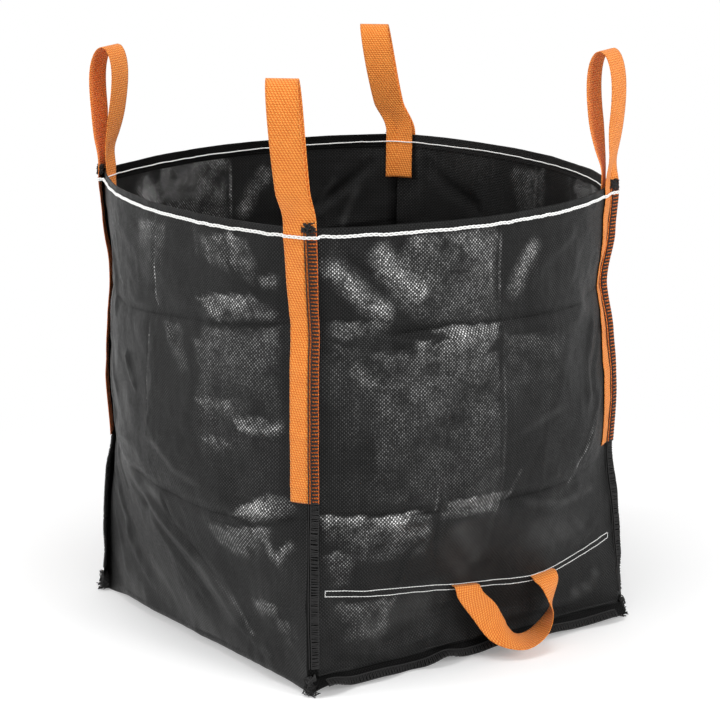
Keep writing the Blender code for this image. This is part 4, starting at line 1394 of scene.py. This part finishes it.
def between(values, position):
    """Point of a smooth curve through the values at a fractional position."""
    index = min(int(position), len(values) - 2)
    part = position - index
    before, start = values[max(index - 1, 0)], values[index]
    end, after = values[index + 1], values[min(index + 2, len(values) - 1)]
    square, cube = part * part, part**3
    tangents = (end - before) * 0.5 * (part - 2 * square + cube) + (after - start) * 0.5 * (cube - square)
    return start + tangents + (end - start) * (3 * square - 2 * cube)


def tipping_handle():
    top_left, top_right = band_height(SLIT_LEFT), band_height(SLIT_RIGHT)
    left, right = SLIT_LEFT, SLIT_RIGHT
    # middle x, height, proud of the panel, and the direction of the band's width
    stations = (
        (left, top_left + 0.012, -0.0060, (1, 0, -0.11)),
        (left, top_left + 0.0030, -0.0036, (1, 0, -0.11)),
        (left, top_left + 0.0020, 0.0022, (1, 0, -0.11)),
        (left + 0.001, top_left + 0.0002, 0.0075, (1, 0, -0.08)),
        (left + 0.006, 0.0890, 0.0130, (0.98, -0.02, 0.06)),
        (0.0030, 0.0655, 0.0190, (0.92, 0.02, 0.30)),
        (0.0205, 0.0390, 0.0290, (0.80, 0.30, 0.48)),
        (0.0360, 0.0262, 0.0360, (0.40, 0.74, 0.46)),
        (0.0555, 0.0195, 0.0390, (0.12, 0.96, 0.18)),
        (0.0815, 0.0262, 0.0360, (0.08, 0.99, -0.08)),
        (0.0990, 0.0475, 0.0300, (0.44, 0.87, -0.16)),
        (0.1045, 0.0645, 0.0235, (0.72, 0.64, -0.10)),
        (0.1040, 0.0820, 0.0160, (0.90, 0.32, -0.02)),
        (right - 0.001, top_right - 0.0020, 0.0100, (1, 0.04, 0.04)),
        (right, top_right + 0.0020, 0.0028, (1, 0, 0.06)),
        (right, top_right + 0.0030, -0.0036, (1, 0, 0.06)),
        (right, top_right + 0.012, -0.0060, (1, 0, 0.06)),
    )
    points = [on_front(x, z, proud) for x, z, proud, _ in stations]
    widths = [unit(np.array(width, float)) for *_, width in stations]
    across = np.linspace(-WEBBING_WIDTH / 2, WEBBING_WIDTH / 2, 15)
    rows = []
    for position in np.linspace(0, len(stations) - 1, 12 * (len(stations) - 1) + 1):
        centre, width = between(points, position), unit(between(widths, position))
        rows.append(centre + width * across[:, None])
    table = np.stack(rows)
    thin = np.ones(table.shape[:2])
    thin[:, [0, -1]] = 0.55
    made = gathered(
        "handle", table, band_flat(table, across), webbing, WEBBING, thin=thin, turn_over=True
    )
    return dress(made, "orange_webbing", "tipping_handle")


handle = tipping_handle()


def backing():
    x = np.linspace(-0.225, 0.225, 90)
    rows = []
    for share in np.linspace(-0.4, 0.6, 7):
        rows.append(on_front(x, band_height(x) + 0.032 * share, -0.0042))
    table = np.stack(rows).transpose(1, 0, 2)
    flat = band_flat(table, np.linspace(-0.016, 0.016, 7))
    made = gathered("band_backing", table, flat, webbing, 0.001, turn_over=True)
    return dress(made, "orange_webbing", "handle_backing_strip")


strip = backing()

# %% [markdown]
# ## Stitching
#
# Stitches are short curves with a round section. The rim has a chain stitch, where each loop comes
# up through the one before it, so it reads as a row of linked teardrops. It runs over cloth,
# webbing and laid edges alike, so its path first steps over all of them. Then the stitches are
# laid along the path, each in the frame of the path's direction, the upright and the outward side.

# %% Stitch helpers
def stitches(name, paths, radius, finish):
    """Many short threads in one curve object."""
    data = bpy.data.curves.new(name, "CURVE")
    data.dimensions = "3D"
    data.bevel_depth = radius
    data.bevel_resolution = 1
    data.use_fill_caps = True
    for points in paths:
        spline = data.splines.new("POLY")
        spline.points.add(len(points) - 1)
        spline.points.foreach_set("co", np.c_[points, np.ones(len(points))].ravel())
    data.materials.append(finish)
    made = bpy.data.objects.new(name, data)
    scene.collection.objects.link(made)
    return made


def spaced(points, step):
    """The same path with points about step apart, and its directions."""
    points = np.asarray(points)
    along = np.concatenate([[0], np.cumsum(np.linalg.norm(np.diff(points, axis=0), axis=1))])
    at = np.linspace(0, along[-1], max(2, round(along[-1] / step) + 1))
    even = np.stack([np.interp(at, along, points[:, k]) for k in range(3)], axis=1)
    return even, unit(np.gradient(even, axis=0))


def chain(path, pitch, width, lift):
    """Linked teardrops along a path; the path's own direction turns with it."""
    points, ways = spaced(path, pitch / 8)
    links_made = []
    for start in range(0, len(points) - 10, 8):
        loop = []
        for step in range(13):
            turn = 2 * math.pi * step / 12
            at = min(start + 5 - 5 * math.cos(turn), len(points) - 1)
            low, part = int(at), at - int(at)
            high = min(low + 1, len(points) - 1)
            centre = points[low] * (1 - part) + points[high] * part
            way = ways[low]
            side = unit(UP - way * way[2])
            outside = np.cross(way, side)
            swing = width / 2 * math.sin(turn) * (0.55 + 0.45 * math.sin(turn / 2))
            loop.append(centre + side * swing + outside * lift * (1 + 0.5 * math.cos(turn)))
        links_made.append(np.array(loop))
    return links_made


# %% [markdown]
# The rim's path visits the four walls in turn and steps out over the webbing and the laid edge at
# each corner. Inside, the same seam shows as a plain row of short stitches.

# %% Rim stitch
RIM_STITCH = HEIGHT - 0.0100


def rim_path(inside):
    points = []
    strap_from = 1 - (LOOP_ON_FACE + 0.002) / HALF_ARC
    tip_to = -1 + (ALLOWANCE + 0.004) / HALF_ARC
    for face in (FRONT, RIGHT, REAR, LEFT):
        if inside:
            s = np.linspace(-0.985, 0.985, 160)
            over = (s < -1 + (BOUND + 0.003) / HALF_ARC) | (s > strap_from)
            depth = INSIDE_STRAP + np.where(over, WEBBING, 0.0) + 0.0006
            z = RIM_STITCH + 0.0004 * hills(s * 20, s * 0, 110 + face)
            points.append(skin(face, s, z) - outward(face, s, z) * depth[:, None])
            continue
        s = np.linspace(tip_to, strap_from, 170)
        z = RIM_STITCH + 0.0006 * hills(s * 22, s * 0, 120 + face)
        points.append(wall(face, s, z, 0.0005))
        s = np.linspace(strap_from + 0.002, 0.995, 14)
        points.append(wall(face, s, RIM_STITCH, STRAP_LEVEL - OUTER_CLOTH + 0.0006))
        for share in (0.05, 0.4, 0.7, 1.0, 1.15):
            points.append(laid_edge(face, np.array([RIM_STITCH]), np.array(share), STRAP_LEVEL + 0.0006))
    points.append(points[0][:1])
    return np.concatenate(points)


outer_links = chain(rim_path(False), 0.0064, 0.0028, 0.0006)
rim_outer = stitches("rim_chain_outside", outer_links, 0.00098, white_thread)
dress(rim_outer, "white_thread", "rim_stitch_outer")
inner_line, _ = spaced(rim_path(True), 0.0036)
inner_line = inner_line[::-1]
inner_parts = [inner_line[i : i + 3] for i in range(0, len(inner_line) - 2, 2)]
rim_inner = stitches("rim_line_inside", inner_parts, 0.0008, white_thread)
dress(rim_inner, "white_thread", "rim_stitch_inner")

# %% [markdown]
# The handle's band is held by a long, narrow box of short stitches.

# %% Band stitch
def lock_stitches(line, pitch, rise):
    """A row of short stitches that dip into the cloth at both ends."""
    points, ways = spaced(line, pitch / 6)
    made = []
    for start in range(0, len(points) - 6, 6):
        part = points[start : start + 6].copy()
        way = ways[start + 2]
        outside = np.cross(way, unit(UP - way * way[2]))
        part += outside * (np.array([-0.6, 0.5, 1.0, 1.0, 0.5, -0.6]) * rise)[:, None]
        made.append(part)
    return made


BAND_FROM, BAND_TO = -0.228, 0.238
x = np.linspace(BAND_FROM, BAND_TO, 240)
rows = []
for side in (-1, 1):
    z = band_height(x) + side * 0.0038 + 0.0004 * hills(x / 0.02, x * 0 + side, 130)
    rows += lock_stitches(on_front(x, z, 0.0003), 0.0042, 0.0005)
for x_end in (BAND_FROM, BAND_TO):
    z = np.linspace(-0.0038, 0.0038, 12) + band_height(x_end)
    rows += lock_stitches(on_front(np.full(12, x_end), z, 0.0003), 0.0036, 0.0005)
band_row = stitches("band_rows", rows, 0.00048, white_thread)
dress(band_row, "white_thread", "band_stitch")

# %% [markdown]
# ## Overlocked edges
#
# The raw edges of the seams are bound by an overlock: a needle thread runs along the seam, and
# looser threads cross from it to the edge, wrap round and come back. On the webbing they read as
# a black ladder. Each rung is drawn over the top, round the edge and back underneath.

# %% Overlock helper
def overlock(frames, lengths, top, under, first, wander):
    """Rungs over an edge. frames are (point, run, rise, forward) along it, one per half stitch."""
    made, needle, edge = [], [], []
    for index, (point, run, rise, forward) in enumerate(frames):
        slant = (0.0005, -0.0003)[index % 2]
        loose = wander[index]
        length = lengths[index]
        shape = (
            (first, top, 0.0),
            (first + (length - first) * 0.5, top + 0.0003, slant * 0.5),
            (length, top + 0.0001, slant + loose),
            (length + 0.0009, (top + under) / 2, slant + loose),
            (length + 0.0002, under - 0.0002, slant + loose * 2),
            (length * 0.6, under - 0.0003, slant * 2),
        )
        made.append(np.array([point + run * a + rise * b + forward * c for a, b, c in shape]))
        edge.append(point + run * (length + 0.0008) + rise * ((top + under) / 2) + forward * slant)
        needle.append(point + run * first + rise * (top + 0.0002 + 0.0003 * (index % 2)))
    return made + [np.array(edge), np.array(needle)]


def seam_overlock(corner):
    paths = []
    rng = np.random.default_rng(sum(map(ord, corner)))
    strap_end, beside = CORNERS[corner][6:]
    spans = [(0.034, strap_end, OUTER_CLOTH, 0.0040)]
    if beside == 1:
        spans.append((strap_end, HEIGHT + 0.001, STRAP_LEVEL, 0.0050))
    for low, high, level, first in spans:
        z = np.arange(low, high, 0.0045 if level == STRAP_LEVEL else 0.0032)
        z = np.sort(np.concatenate([z, z + 0.0017]))
        if level != STRAP_LEVEL:
            z = z + rng.uniform(-0.0010, 0.0010, len(z))
        point, _, run, rise = seam_frame(corner, z)
        wander = rng.uniform(-0.0004, 0.0004, len(z))
        frames = list(zip(point, run, rise, np.repeat(UP[None], len(z), 0)))
        lengths = ALLOWANCE * flare(z)
        paths += overlock(frames, lengths, level + 0.0005, FOLD_GAP - 0.0002, first, wander)
        paths.append(point + run * 0.0014 + rise * (level + 0.0002))
    return paths


def knot(centre, size, seed, turns=5):
    """A small tangle of thread."""
    rng = np.random.default_rng(seed)
    t = np.linspace(0, turns * 2 * math.pi, turns * 12)
    a, b, c = rng.uniform(0.75, 1.35, 3)
    loop = np.stack([np.sin(a * t), np.cos(b * t + 0.7), np.sin(c * t + 1.9)], axis=1)
    return centre + loop * size * (0.8 + 0.2 * np.sin(t * 0.37))[:, None]


def tuft(centre, way, count, length, seed):
    """Loose thread ends that fan out from a point."""
    rng = np.random.default_rng(seed)
    made = []
    for _ in range(count):
        start = centre + rng.normal(0, 0.0018, 3)
        direction = unit(way + rng.normal(0, 0.55, 3))
        bend = rng.normal(0, 0.5, 3)
        reach = length * rng.uniform(0.4, 1.0)
        t = np.linspace(0, 1, 6)[:, None]
        line = start + direction * reach * t + bend * reach * 0.5 * t**2
        line[:, 2] = np.maximum(line[:, 2], 0.0012)
        made.append(line)
    return made


for corner, values in CORNERS.items():
    diagonal = unit(NORMALS[values[0]] + NORMALS[(values[0] + 1) % 4])
    top, _, run, rise = seam_frame(corner, np.array(HEIGHT))
    low, _, low_run, _ = seam_frame(corner, np.array(0.030))
    seed = values[0] * 7 + 3
    paths = seam_overlock(corner)
    crown = top + run * 0.0075 + rise * 0.0030
    for turn in range(7):
        shift = run * 0.0016 * (turn - 3) + UP * (0.0050 * (turn % 2) - 0.0006)
        paths.append(knot(crown + shift, 0.0034, seed + turn, 7))
    paths += tuft(crown + UP * 0.004, unit(run + UP * 0.8), 8, 0.008, seed)
    foot = low + diagonal * 0.001 - UP * 0.0240 + low_run * 0.003
    for turn in range(9):
        shift = UP * 0.0022 * turn + diagonal * 0.0022 * ((turn * 2) % 3)
        shift = shift + low_run * 0.0030 * ((turn % 3) - 1)
        paths.append(knot(foot + shift, 0.0042, seed + 20 + turn, 7))
    paths += tuft(foot, unit(diagonal + 0.4 * low_run), 34, 0.013, seed + 50)
    made = stitches("overlock_" + corner, paths, 0.00066, black_thread)
    dress(made, "black_thread", "corner_overlock_" + corner)

# %% [markdown]
# The front and rear panels' bottom edges are overlocked in the same way, along the hanging flange.

# %% Bottom overlocks
for name, face in (("front", FRONT), ("rear", REAR)):
    x = np.arange(-0.232, 0.232, 0.0024)
    point, run, rise = flange_frame(face, x)
    forward = np.repeat(ALONGS[face][None], len(x), 0)
    wander = np.random.default_rng(face + 200).uniform(-0.0005, 0.0005, len(x))
    lengths = np.full(len(x), FLANGE)
    frames = list(zip(point, run, rise, forward))
    paths = overlock(frames, lengths, OUTER_CLOTH + 0.0004, -0.0003, 0.0105, wander)
    made = stitches("bottom_overlock_" + name + "_thread", paths, 0.00070, black_thread)
    dress(made, "black_thread", "bottom_overlock_" + name)

# %% [markdown] ## Cloth facts A sheet of cloth hardly stretches.

print("sheets declared:", 5 + len(loops))
